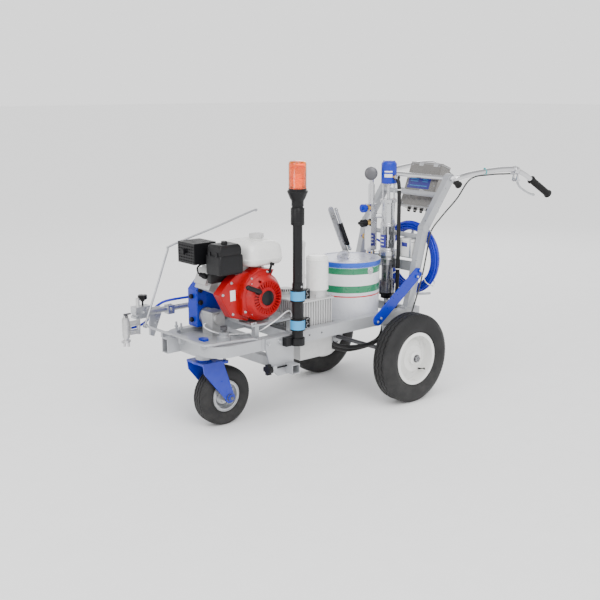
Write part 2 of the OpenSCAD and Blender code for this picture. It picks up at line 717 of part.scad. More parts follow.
module control_box() color("gainsboro") {
    translate(box_foot) rotate([0, -box_lean, 0]) {
        difference() {
            block([-62, -100, 0], [0, 100, 224]);
            block([-59, -97, 3], [-3, 97, 221]);
            y_rod(-70, 60, -1, 1, 1);
            translate([-70, -50, 40]) rotate([0, 90, 0]) cylinder(d = 22 + 2 * fit, h = 20);
        }
        block([0, -92, 8], [1.5, 92, 216]);
        block([-64, -70, 120], [-62, 70, 200]);
        translate([-62, 40, 40]) rotate([0, -90, 0]) cylinder(d = 30, h = 6);
        for (y = [-60, -20, 20, 60]) translate([-30, y, -14]) cylinder(d = 16, h = 14);
    }
}

module start_button() color("green") translate(box_foot) rotate([0, -box_lean, 0])
    translate([-72, -50, 40]) rotate([0, 90, 0]) {
    cylinder(d = 28, h = 7);
    cylinder(d = 22, h = 13);
}

module battery_box() color("lightgray") {
    block([-213, 72, 620], [-152, 160, 703]);
    block([-152, 96, 664], [-149, 136, 690]);
}

// ---- handlebar ----

function arm_points() = [[cross_bar[0], 160, cross_bar[2]], [cross_bar[0] - 6, 208, cross_bar[2] + 2],
    [-396, 224, 981], [-470, 230, 992], [-600, 244, 1002], [-700, 256, 1004], [-760, 263, 998], [-820,
    270, 976], [-870, 276, 948], [-1000, 290, 868]];
function on_grip(t) = arm_points()[8] + t * (arm_points()[9] - arm_points()[8]);

module handlebar() color("gainsboro") {
    half = arm_points();
    far = [for (i = [len(half) - 1:-1:0]) [half[i][0], -half[i][1], half[i][2]]];
    tube(curve(concat(far, half), 3), bar_d, 12);
    rod([-752, 262, 999.5], [-778, 265, 992], 40);
    for (y = [250, 273]) plate_xz(y, 5) bar_2d([-765, 988], brake_pivot, 16);
    y_rod(brake_pivot[0], brake_pivot[1], 249, 279, 6);
}

module grips() color("#1b1b1b") both_sides() {
    difference() {
        rod(on_grip(0.06), on_grip(1.04), grip_d);
        rod(on_grip(-0.1), on_grip(1.0), bar_d);
    }
    difference() {
        rod(on_grip(1.0), on_grip(1.05), grip_d + 8);
        rod(on_grip(0.9), on_grip(1.0), bar_d);
    }
    difference() {
        rod(on_grip(0.04), on_grip(0.08), grip_d + 8);
        rod(on_grip(-0.1), on_grip(0.2), bar_d);
    }
}

module brake_lever() color("#222222") {
    difference() {
        union() {
            y_rod(brake_pivot[0], brake_pivot[1], 256, 272, 18);
            tube(curve([[-779, 264, 944], [-800, 268, 912], [-860, 274, 880], [-904, 278, 866]], 3), 12,
                12);
        }
        y_rod(brake_pivot[0], brake_pivot[1], 240, 290, 6 + 2 * fit);
    }
}

function unit(v) = v / norm(v);
function dir(p, i) = unit(p[min(i + 1, len(p) - 1)] - p[max(i - 1, 0)]);

// Side vectors along a route, each carried over from the one before it.
function carried(p, i, u) = i == len(p) ? [] : let(t = dir(p, i), w = unit(u - (u * t) * t))
    concat([w], carried(p, i + 1, w));

// A smooth curve through a route's points, with m steps between two points.
function curve(p, m) = concat([for (i = [0:len(p) - 2], j = [0:m - 1]) let(
    a = p[max(i - 1, 0)], b = p[i], c = p[i + 1], d = p[min(i + 2, len(p) - 1)], t = j / m)
    0.5 * (2 * b + (c - a) * t + (2 * a - 5 * b + 4 * c - d) * t * t
        + (3 * b - 3 * c + d - a) * t * t * t)],
    [p[len(p) - 1]]);

// A tube swept along a list of points.
module tube(p, d, n = 8) {
    us = carried(p, 0, cross(dir(p, 0), abs(dir(p, 0)[2]) < 0.9 ? [0, 0, 1] : [1, 0, 0]));
    last = n * (len(p) - 1);
    polyhedron(
        points = [for (i = [0:len(p) - 1], k = [0:n - 1])
            p[i] + d / 2 * (cos(360 * k / n) * us[i] + sin(360 * k / n) * cross(dir(p, i), us[i]))],
        faces = concat([[for (k = [0:n - 1]) k]], [[for (k = [n - 1:-1:0]) last + k]],
            [for (i = [0:len(p) - 2], k = [0:n - 1])
                [i * n + k, (i + 1) * n + k, (i + 1) * n + (k + 1) % n, i * n + (k + 1) % n]]));
}

cable_route = [[-750, 261, 980], [-700, 254, 981], [-600, 240, 982], [-480, 222, 968], [-396, 212, 880],
    [-300, 208, 806],
    [-226, 208, 740], [-200, 208, 640], [-172, 210, 540], [-130, 214, 440], [-66, 226, 330], [-12, 236,
    268]];
return_route = [[342, 60, 290], [322, 62, 287], [290, 78, 264], [220, 104, 236], [110, 108, 230],
    [0, 92, 238], [-66, 64, 266],
    [-104, 36, 330], [-130, 24, 372], [-135, 20, 396], [-135, 20, 412]];
feed_route = [[342, 124, 300], [324, 125, 297], [290, 132, 274], [210, 138, 252], [100, 138, 246],
    [0, 128, 254], [-70, 108, 290],
    [-110, 94, 350], [-130, 88, 430], [-136, 88, 560], [-136, 88, 760], [-136, 86, 930], [-136, 76, 974],
    [-135, 64, 985], [-135, 57, 985]];
lead_route = [[-84, -88, 700], [-84, -98, 700], [-92, -110, 697], [-124, -126, 684], [-180, -132, 676],
    [-222, -124, 660], [-240, -110, 638], [-242, -101, 613]];
gun_route = [[-272, -97, 542], [-266, -84, 508], [-256, -78, 476], [-236, -92, 448], [-206, -132, 428],
    [-176, -178, 416], [-150, -208, 412], [-100, -226, 414], [60, -228, 418], [300, -228, 418], [540,
    -230, 422], [600, -240, 448], [640, -258, 484],
    [700, -280, 492], [780, -296, 492], [860, -306, 490], [900, -320, 482], [926, -340, 460], [946,
    -346, 432],
    [976, -341, 404], [1012, -336, 392], [1036, -331, 390], [1058.5, -330, 390]];

module brake_cable() color("#181818") tube(curve(cable_route, 3), 7);

module hydraulic_hoses() color("#202022") {
    tube(curve(return_route, 3), 22, 10);
    tube(curve(feed_route, 3), 18, 10);
}

module hose_tails() color("royalblue") {
    tube(curve(lead_route, 2), hose_d);
    tube(curve(gun_route, 2), hose_d);
}

module hose_coil() color("royalblue") translate(coil_c) rotate([0, 90, 0])
    rotate_extrude() translate([coil_r, 0]) circle(coil_t);

module side_lever() color("silver") {
    tip = [66, 0, 830];
    difference() {
        translate([0, -159, 0]) union() {
            lean_bar(lever_foot, tip, 5, 30);
            y_rod(lever_foot[0], lever_foot[2], -3.5, 2.5, 34);
            y_rod(tip[0], tip[2], -2.5, 2.5, 30);
        }
        y_rod(lever_foot[0], lever_foot[2], -180, -140, 10 + 2 * fit);
    }
    rod([-52, -150, 630], [44, -150, 836], 14);
    rod([-50, -158, 634], [-50, -146, 634], 8);
    rod([40, -158, 828], [40, -146, 828], 8);
}

// ---- spray gun, guide and beacon ----

module gun_arm() color("silver") {
    difference() {
        union() {
            x_rod(600, 985, arm_y, arm_z, 25);
            block([866, arm_y - 17, arm_z - 22], [898, arm_y + 17, arm_z + 16]);
            block([972, -346, 430], [1048, -301, 480]);
            x_rod(930, 985, arm_y - 4, arm_z, 34);
            plate_xz(-308, 12) polygon([[926, 440], [984, 440], [984, 352], [966, 344]]);
        }
        translate([1030, -316, 420]) cylinder(d = 16 + 2 * fit, h = 80);
        translate([1000, -326, 460]) cylinder(d = 8 + 2 * fit, h = 40);
        block([1042, -350, 440], [1060, -296, 448]);
    }
}

module gun_knob() color("#1b1b1b") translate([1000, -326, 0]) {
    translate([0, 0, 464]) cylinder(d = 8, h = 50);
    translate([0, 0, 508]) star_knob(40, 18);
    translate([0, 0, 500]) cylinder(d = 18, h = 8);
}

module gun_holder() color("darkgray") {
    translate([1030, -316, 362]) cylinder(d = 16, h = 156);
    block([1030, -324, 366], [1076, -306, 384]);
    block([1030, -324, 404], [1076, -306, 422]);
    difference() {
        union() {
            translate([1086, -325, 352]) cylinder(d = 32, h = 84);
            translate([1086, -325, 340]) cylinder(d = 24, h = 12, $fn = 6);
            translate([1086, -325, 436]) cylinder(d = 22, h = 14);
            translate([1086, -325, 332]) cylinder(d = 30, h = 10);
            x_rod(1068, 1108, -325, 337, 12);
            for (s = [-1, 1]) translate([1086, -325, 324]) rotate([0, 0, 40])
                block([-5, s * 9 - 4, -10], [5, s * 9 + 4, 12]);
        }
        translate([1086, -325, 300]) cylinder(d = 4, h = 40);
        block([1079, -350, 440], [1093, -300, 460]);
    }
    y_rod(1086, 445, -336, -314, 4);
    x_rod(1060, 1072, -330, 390, 14);
}

module gun_trigger() color("dimgray") {
    difference() {
        union() {
            y_rod(1086, 445, -332, -318, 9);
            block([1081.5, -331, 446], [1090.5, -319, 453]);
            block([1062, -330, 452], [1094, -320, 457]);
        }
        y_rod(1086, 445, -340, -310, 4 + 2 * fit);
    }
}

module guide_pointer() color("gainsboro") {
    y = pivot[1];
    knee = [894, y, 725];
    difference() {
        union() {
            y_rod(pivot[0], pivot[2], y - 7, y + 7, 20);
            tube(curve([pivot, (pivot + knee) / 2, knee + [6, 0, -16], knee + [-14, 0, 8],
                [660, y, 787], [436, y, 846], [422, y, 842]], 2), 9);
        }
        y_rod(pivot[0], pivot[2], y - 20, y + 20, 9 + 2 * fit);
    }
}

module mast_clamp(z) {
    translate([pole_x, pole_y, z]) difference() {
        union() {
            cylinder(d = pole_d + 14, h = 50);
            block([-58, -11, 4], [-20, 11, 46]);
        }
        translate([0, 0, -1]) cylinder(d = pole_d, h = 52);
        block([-70, -1.5, -1], [-pole_d / 2 + 1, 1.5, 51]);
        for (h = [14, 36]) translate([-46, 0, h]) rotate([90, 0, 0]) cylinder(d = 8, h = 40,
            center = true);
    }
    for (h = [14, 36]) translate([pole_x - 46, pole_y, z + h]) {
        rotate([90, 0, 0]) cylinder(d = 7, h = 40, center = true);
        for (s = [-1, 1]) translate([0, s * 15, 0]) rotate([90, 0, 0]) cylinder(d = 14, h = 6,
            center = true, $fn = 6);
    }
}

module beacon_pole() color("#161618") {
    difference() {
        translate([pole_x, pole_y, 352]) cylinder(d = pole_d, h = 260);
        translate([pole_x, pole_y, 356]) cylinder(d = pole_top_d + 2 * fit, h = 260);
    }
    mast_clamp(414);
    mast_clamp(536);
    difference() {
        union() {
            translate([pole_x, pole_y, 352]) cylinder(d = pole_d + 14, h = 30);
            block([pole_x - 20, rail_out + 6, 352], [pole_x + 60, pole_y, 388]);
        }
        translate([pole_x, pole_y, 340]) cylinder(d = pole_d, h = 70);
        block([pole_x - 40, rail_out - 20, 340], [pole_x + 70, rail_out + 6, 400]);
    }
}

module beacon_mast() color("#18181a") translate([pole_x, pole_y, 0]) {
    translate([0, 0, 470]) cylinder(d = pole_top_d, h = 400);
    translate([0, 0, 852]) cylinder(d = 56, h = 70);
    translate([0, 0, 922]) rotate_extrude() polygon([[0, 0], [28, 0], [30, 14], [42, 58], [42, 66],
        [0, 66]]);
    translate([0, 0, 988]) cylinder(d = 74, h = 10);
    translate([0, 0, 998]) cylinder(d = 34, h = 56);
}

module beacon_lens() color("orange") translate([pole_x, pole_y, 998]) rotate_extrude() difference() {
    polygon([[0, 0], [36, 0], [36, 86], [34, 98], [28, 106], [16, 110], [0, 111]]);
    polygon([[0, -1], [32, -1], [32, 86], [30, 96], [24, 102], [0, 106]]);
}

module cross_tube() color("gainsboro") difference() {
    block([ct_x - ct_w / 2, -226, ct_z - ct_w / 2], [ct_x + ct_w / 2, 254, ct_z + ct_w / 2]);
    block([ct_x - ct_w / 2 + tube_wall, -230, ct_z - ct_w / 2 + tube_wall],
        [ct_x + ct_w / 2 - tube_wall, 260, ct_z + ct_w / 2 - tube_wall]);
}

module clamp_knob() color("#1b1b1b") {
    x_rod(ct_x + ct_w / 2 + gap, 745, rail_out + 17, 268, 8);
    translate([732 + gap, rail_out + 17, 268]) rotate([0, 90, 0]) {
        cylinder(d = 20, h = 8);
        translate([0, 0, 8]) star_knob(46, 18);
    }
}

place() main_frame();
place() nose_frame();
place() rear_axle();
place() handle_posts();
place() side_braces();
place() left_tyre();
place() left_rim();
place() right_tyre();
place() right_rim();
place() caster_fork();
place() caster_tyre();
place() caster_rim();
place() swivel_lock();
place() engine_mount();
place() engine_block();
place() engine_shroud();
place() recoil_cover();
place() recoil_handle();
place() fuel_tank();
place() fuel_cap();
place() air_cleaner();
place() muffler();
place() throttle_lever();
place() crankshaft();
place() drive_belt();
place() driven_pulley();
place() hydraulic_pump();
place() belt_guard();
place() oil_tank();
place() oil_filter();
place() hydraulic_hoses();
place() pail();
place() pail_lid();
place() lid_handle();
place() pump_head();
place() pump_column();
place() pump_rod();
place() manifold();
place() valve_handle();
place() prime_knob();
place() control_box();
place() start_button();
place() battery_box();
place() handlebar();
place() grips();
place() brake_lever();
place() brake_cable();
place() side_lever();
place() hose_coil();
place() hose_tails();
place() gun_arm();
place() gun_holder();
place() gun_trigger();
place() gun_knob();
place() guide_pointer();
place() beacon_pole();
place() beacon_mast();
place() beacon_lens();
place() cross_tube();
place() clamp_knob();
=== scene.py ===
"""Looks of a walk-behind line striping machine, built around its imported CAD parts."""
import json
from math import cos, pi, radians, sin
import bmesh
import bpy
from mathutils import Matrix, Vector


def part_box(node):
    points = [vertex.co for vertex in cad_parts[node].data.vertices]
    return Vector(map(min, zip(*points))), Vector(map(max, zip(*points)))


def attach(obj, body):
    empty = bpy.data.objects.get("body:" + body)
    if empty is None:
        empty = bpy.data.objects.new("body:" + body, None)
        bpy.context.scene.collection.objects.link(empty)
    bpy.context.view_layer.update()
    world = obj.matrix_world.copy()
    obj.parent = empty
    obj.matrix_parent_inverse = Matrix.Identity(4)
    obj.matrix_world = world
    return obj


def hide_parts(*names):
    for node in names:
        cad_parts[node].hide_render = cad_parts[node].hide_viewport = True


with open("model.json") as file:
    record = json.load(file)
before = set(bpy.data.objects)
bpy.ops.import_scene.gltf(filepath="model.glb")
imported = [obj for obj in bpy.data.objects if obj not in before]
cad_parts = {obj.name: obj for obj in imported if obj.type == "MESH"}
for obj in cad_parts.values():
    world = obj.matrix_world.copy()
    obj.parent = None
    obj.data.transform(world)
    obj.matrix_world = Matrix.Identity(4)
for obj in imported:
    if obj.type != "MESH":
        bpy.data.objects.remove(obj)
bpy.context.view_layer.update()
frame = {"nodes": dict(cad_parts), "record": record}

MM = 0.001
X, Y, Z = Vector((1, 0, 0)), Vector((0, 1, 0)), Vector((0, 0, 1))
axle_low, axle_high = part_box("rear_axle")
AXLE_X = (axle_low[0] + axle_high[0]) / 2

# places in mm from the rear axle, the machine's middle and the ground
WHEEL_R, WHEEL_Y = 203, 305
CASTER = (828, 0, 127)
CRANK_X, CRANK_Z = 706, 552
PAIL_X, PAIL_TOP = 100, 626
PUMP = (-135, 20)
GAUGE_FACE = Vector((-86, -48, 1000))
FILTER = (385, 104)
MAST = (605, 232)
BOX_FOOT = Vector((-337, 0, 826))
BOX_TURN = Matrix.Rotation(radians(-21.5), 3, "Y")
BOX = (BOX_TURN, BOX_FOOT)


def at(x, y, z):
    """A point given in mm from the rear axle, the machine's middle and the ground, in the row frame."""
    return Vector((AXLE_X + x * MM, y * MM, z * MM))


def placed(name, data):
    thing = bpy.data.objects.new(name, data)
    bpy.context.collection.objects.link(thing)
    return thing


# ---- camera, light and floor ----

def make_camera():
    camera = placed("camera", bpy.data.cameras.new("camera"))
    camera.data.lens = 58.2
    camera.data.sensor_width = 36
    camera.location = at(3127, 3181, 1402)
    aim = at(392.6, 0, 471.2) - camera.location
    camera.rotation_euler = aim.to_track_quat("-Z", "Y").to_euler()
    bpy.context.scene.camera = camera


def area_light(name, place, aim, size, power, tint=(1, 1, 1)):
    lamp = bpy.data.lights.new(name, "AREA")
    lamp.shape = "RECTANGLE"
    lamp.size, lamp.size_y = size
    lamp.energy = power
    lamp.color = tint
    light = placed(name, lamp)
    light.location = place
    light.rotation_euler = (Vector(aim) - Vector(place)).to_track_quat("-Z", "Y").to_euler()


def make_studio():
    world = bpy.data.worlds.new("studio")
    world.use_nodes = True
    tree = world.node_tree
    rise = add(tree, "SeparateXYZ", in0=tree.nodes.new("ShaderNodeTexCoord").outputs["Generated"]).outputs[2]
    sky = spread(tree, rise, 0.12, 0.6, 1.6, 0.7)
    tree.links.new(sky, tree.nodes["Background"].inputs["Strength"])
    tree.nodes["Background"].inputs["Color"].default_value = (1, 1, 1, 1)
    bpy.context.scene.world = world
    lamp = bpy.data.lights.new("sky_panel", "SUN")
    lamp.energy = 2.6
    lamp.angle = radians(70)
    placed("sky_panel", lamp).rotation_euler = (radians(-20), radians(14), 0)
    area_light("key", (1.8, 4.0, 3.2), (0, 0, 0.4), (2.2, 1.6), 80)
    area_light("front", (4.6, 0.6, 2.0), (0.2, 0, 0.5), (1.4, 2.0), 40)
    area_light("back", (-3.6, -3.0, 2.6), (0, 0, 0.6), (2.4, 2.0), 40)
    floor_mesh = bpy.data.meshes.new("floor")
    reach = 60
    corners = [(-reach, -reach, 0), (reach, -reach, 0), (reach, reach, 0), (-reach, reach, 0)]
    floor_mesh.from_pydata(corners, [], [(0, 1, 2, 3)])
    floor = placed("floor", floor_mesh)
    floor_mesh.materials.append(surface("floor_white", (0.93, 0.93, 0.93), 0.95, tone=0.01,
                                        grain=(60, 0.02)))


# ---- materials ----

def add(tree, kind, **values):
    """A shader node, with its sockets set or linked by name or number."""
    node = tree.nodes.new("ShaderNode" + kind)
    for name, value in values.items():
        number = name[2:] if name.startswith("in") else ""
        socket = node.inputs[int(number) if number.isdigit() else name.replace("_", " ")]
        if isinstance(value, bpy.types.NodeSocket):
            tree.links.new(value, socket)
        else:
            socket.default_value = value
    return node


def blend_colour(tree, factor, first, second):
    mix = tree.nodes.new("ShaderNodeMix")
    mix.data_type = "RGBA"
    for socket, value in ((mix.inputs[0], factor), (mix.inputs[6], first), (mix.inputs[7], second)):
        if isinstance(value, bpy.types.NodeSocket):
            tree.links.new(value, socket)
        else:
            socket.default_value = value if isinstance(value, float) else (*value[:3], 1)
    return mix.outputs[2]


def spread(tree, value, low, high, to_low=0.0, to_high=1.0):
    node = add(tree, "MapRange", in0=value, in1=low, in2=high, in3=to_low, in4=to_high)
    return node.outputs[0]


def scaled(colour, k):
    return tuple(min(1.0, c * k) for c in colour[:3])


def math(tree, operation, first, second):
    node = add(tree, "Math", in0=first, in1=second)
    node.operation = operation
    return node.outputs[0]


def banded(tree, height, bands, colour):
    """Colours by height: each band is (lowest mm, highest mm, colour)."""
    for low, high, tint in bands:
        above = math(tree, "GREATER_THAN", height, low * MM)
        below = math(tree, "LESS_THAN", height, high * MM)
        colour = blend_colour(tree, math(tree, "MULTIPLY", above, below), colour, tint)
    return colour


def surface(name, colour, rough, metallic=0.0, tone=0.05, grain=(700, 0.06), dust=0.0, coat=0.0,
            streaks=0.0, chips=0.0, bands=(), clear=0.0, glow=0.0, shine=0.5):
    """A finish with uneven colour, a fine grain, and where asked dust low down, brushing and chips."""
    material = bpy.data.materials.new(name)
    material.use_nodes = True
    tree = material.node_tree
    shader = tree.nodes["Principled BSDF"]
    where = tree.nodes.new("ShaderNodeTexCoord").outputs["Object"]
    height = add(tree, "SeparateXYZ", in0=where).outputs[2]
    cloud = add(tree, "TexNoise", Vector=where, Scale=9.0, Detail=5.0, Roughness=0.6).outputs[0]
    patch = add(tree, "TexNoise", Vector=where, Scale=38.0, Detail=4.0, Roughness=0.55).outputs[0]
    fine = add(tree, "TexNoise", Vector=where, Scale=float(grain[0]), Detail=3.0, Roughness=0.6).outputs[0]
    body = banded(tree, height, bands, colour) if bands else colour
    shade = spread(tree, cloud, 0.3, 0.7)
    if bands:
        darker = blend_colour(tree, float(tone), body, (0.25, 0.25, 0.25))
        tint = blend_colour(tree, shade, darker, body)
    else:
        tint = blend_colour(tree, shade, scaled(colour, 1 - tone), scaled(colour, 1 + tone))
    roughness = spread(tree, patch, 0.3, 0.7, max(0.02, rough - 0.07), min(1.0, rough + 0.09))
    relief = fine
    if streaks:
        stretched = add(tree, "Mapping", Vector=where, Scale=(1500.0, 1500.0, 25.0)).outputs[0]
        lines = add(tree, "TexNoise", Vector=stretched, Scale=1.0, Detail=2.0).outputs[0]
        roughness = math(tree, "ADD", roughness, spread(tree, lines, 0.3, 0.7, -streaks, streaks))
        relief = lines
    if chips:
        speck = add(tree, "TexNoise", Vector=where, Scale=150.0, Detail=6.0, Roughness=0.7).outputs[0]
        worn = spread(tree, speck, 0.72 - 0.04 * chips, 0.75 - 0.04 * chips)
        tint = blend_colour(tree, worn, tint, (0.34, 0.32, 0.3))
    if dust:
        low = spread(tree, height, 0.42, 0.02, 0.0, dust)
        veil = math(tree, "MULTIPLY", low, spread(tree, patch, 0.35, 0.7, 0.25, 1.0))
        tint = blend_colour(tree, veil, tint, (0.3, 0.29, 0.27))
        roughness = math(tree, "ADD", roughness, veil)
    bump = add(tree, "Bump", Height=relief, Strength=grain[1], Distance=0.6 * MM)
    tree.links.new(tint, shader.inputs["Base Color"])
    tree.links.new(roughness, shader.inputs["Roughness"])
    tree.links.new(bump.outputs[0], shader.inputs["Normal"])
    for socket, value in (("Metallic", metallic), ("Specular IOR Level", shine), ("Coat Weight", coat),
                          ("Coat Roughness", 0.12), ("Transmission Weight", clear)):
        shader.inputs[socket].default_value = value
    if glow:
        shader.inputs["Emission Color"].default_value = (*colour[:3], 1)
        shader.inputs["Emission Strength"].default_value = glow
    return material


GREEN, WHITE, BLUE, RED = (0.0, 0.2, 0.08), (0.8, 0.82, 0.83), (0.01, 0.09, 0.6), (0.6, 0.01, 0.01)


def pail_bands():
    """The plain printed bands of the pail, from its rim down."""
    top = PAIL_TOP
    return [(top - 22, top + 9, BLUE), (top - 52, top - 23, GREEN), (top - 104, top - 52, WHITE),
            (top - 136, top - 104, GREEN), (top - 156, top - 150, RED)]


FINISH = {
    "frame_paint": dict(colour=(0.4, 0.41, 0.43), rough=0.34, metallic=0.4, tone=0.06, coat=0.2, dust=0.2,
                        chips=0.3, grain=(900, 0.05)),
    "zinc": dict(colour=(0.5, 0.51, 0.53), rough=0.3, metallic=0.9, tone=0.1, dust=0.15, grain=(500, 0.08)),
    "blue_paint": dict(colour=(0.002, 0.022, 0.4), rough=0.32, tone=0.08, coat=0.2, shine=0.35, dust=0.1,
                       chips=0.1, grain=(600, 0.05)),
    "red_paint": dict(colour=(0.36, 0.0, 0.002), rough=0.34, tone=0.08, coat=0.12, shine=0.3,
                      grain=(500, 0.04)),
    "white_paint": dict(colour=(0.82, 0.82, 0.8), rough=0.28, tone=0.03, coat=0.4, dust=0.12,
                        grain=(500, 0.03)),
    "black_plastic": dict(colour=(0.006, 0.006, 0.007), shine=0.25, rough=0.36, tone=0.2,
                          grain=(1600, 0.25)),
    "black_metal": dict(colour=(0.005, 0.005, 0.006), shine=0.25, rough=0.34, tone=0.2, grain=(900, 0.1),
                        chips=0.2),
    "cast_alloy": dict(colour=(0.55, 0.55, 0.55), rough=0.42, metallic=0.8, tone=0.12, grain=(420, 0.3)),
    "chrome": dict(colour=(0.66, 0.66, 0.68), rough=0.14, metallic=1.0, tone=0.03, grain=(300, 0.01)),
    "stainless": dict(colour=(0.6, 0.61, 0.63), rough=0.3, metallic=0.9, tone=0.05, streaks=0.12,
                      grain=(700, 0.06)),
    "dark_steel": dict(colour=(0.13, 0.13, 0.14), rough=0.4, metallic=0.8, tone=0.2, dust=0.2,
                       grain=(500, 0.1)),
    "tyre": dict(colour=(0.014, 0.014, 0.015), shine=0.25, rough=0.6, tone=0.25, dust=0.1,
                 grain=(800, 0.25)),
    "grip_rubber": dict(colour=(0.008, 0.008, 0.008), shine=0.25, rough=0.55, tone=0.2, grain=(1400, 0.2)),
    "belt_rubber": dict(colour=(0.02, 0.02, 0.02), rough=0.7, tone=0.2, grain=(1400, 0.2)),
    "hose_black": dict(colour=(0.008, 0.008, 0.009), shine=0.3, rough=0.45, tone=0.2, dust=0.12,
                       grain=(1500, 0.3)),
    "hose_blue": dict(colour=(0.001, 0.01, 0.42), rough=0.3, tone=0.1, coat=0.15, shine=0.35,
                      grain=(1500, 0.12)),
    "cable_black": dict(colour=(0.018, 0.018, 0.018), rough=0.45, tone=0.2, grain=(1500, 0.15)),
    "pail_print": dict(colour=(0.7, 0.71, 0.76), rough=0.3, tone=0.08, coat=0.3, bands=pail_bands(),
                       grain=(300, 0.04)),
    "lid_metal": dict(colour=(0.5, 0.51, 0.6), rough=0.3, metallic=0.45, tone=0.06, coat=0.3,
                      bands=[(600, 628.4, BLUE)], grain=(400, 0.04)),
    "tank_alloy": dict(colour=(0.58, 0.58, 0.58), rough=0.45, metallic=0.5, tone=0.08, dust=0.2,
                       grain=(500, 0.2)),
    "amber_lens": dict(colour=(1.0, 0.26, 0.0), shine=0.3, rough=0.06, tone=0.06, clear=0.95, coat=0.3,
                       glow=0.04, grain=(200, 0.02)),
    "button_green": dict(colour=(0.03, 0.42, 0.09), rough=0.3, tone=0.05, coat=0.3, grain=(500, 0.02)),
    "lamp_amber": dict(colour=(1.0, 0.42, 0.03), rough=0.3, tone=0.1, glow=1.1, grain=(300, 0.1)),
    "box_steel": dict(colour=(0.27, 0.26, 0.25), rough=0.3, metallic=0.85, tone=0.08, streaks=0.1,
                      grain=(700, 0.06)),
    "brass": dict(colour=(0.66, 0.42, 0.12), rough=0.28, metallic=1.0, tone=0.08, grain=(400, 0.06)),
    "label_blue": dict(colour=(0.02, 0.02, 0.24), rough=0.3, tone=0.04, coat=0.3, grain=(500, 0.02)),
    "label_white": dict(colour=(0.82, 0.83, 0.84), rough=0.35, tone=0.03, grain=(500, 0.02)),
    "band_blue": dict(colour=(0.04, 0.3, 0.6), rough=0.35, tone=0.04, grain=(600, 0.05)),
    "tie_white": dict(colour=(0.8, 0.8, 0.78), rough=0.4, tone=0.05, grain=(600, 0.05)),
    "tie_teal": dict(colour=(0.02, 0.38, 0.4), rough=0.4, tone=0.05, grain=(600, 0.05)),
    "dark_glass": dict(colour=(0.03, 0.05, 0.06), rough=0.08, tone=0.05, coat=0.6, grain=(200, 0.01)),
    "pump_column": dict(colour=(0.6, 0.61, 0.63), rough=0.24, metallic=0.9, tone=0.05, streaks=0.08,
                        bands=[(350, 440, (0.012, 0.012, 0.013)), (440, 573, (0.16, 0.16, 0.17)),
                               (573, 620, (0.3, 0.3, 0.31))], grain=(600, 0.05)),
}
MATERIAL = {}


def finish(name):
    if name not in MATERIAL:
        MATERIAL[name] = surface(name, **FINISH[name])
    return MATERIAL[name]


def dress_cad_nodes():
    """Every CAD node gets the finish of its own material slot."""
    special = {"pump_column": "pump_column", "control_box": "box_steel"}
    for row in frame["record"]["subparts"]:
        material = finish(special.get(row["node"], row["material_slot"]))
        for place in frame["nodes"][row["node"]].material_slots:
            place.material = material


# ---- mesh building ----

def smooth_route(points, steps=6):
    """A curve through the points, with steps between two of them."""
    points = [Vector(p) for p in points]
    line = []
    for i in range(len(points) - 1):
        a, b = points[max(i - 1, 0)], points[i]
        c, d = points[i + 1], points[min(i + 2, len(points) - 1)]
        for k in range(steps):
            t = k / steps
            line.append(0.5 * (2 * b + (c - a) * t + (2 * a - 5 * b + 4 * c - d) * t * t
                               + (3 * b - 3 * c + d - a) * t ** 3))
    return line + [points[-1]]


def ring_angles(steps):
    return [2 * pi * k / steps for k in range(steps)]


def around(x, y, radius, count=4, first=45):
    """Evenly spaced (x, y) points on a circle, the first at an angle in degrees."""
    return [(x + radius * cos(a + radians(first)), y + radius * sin(a + radians(first)))
            for a in ring_angles(count)]


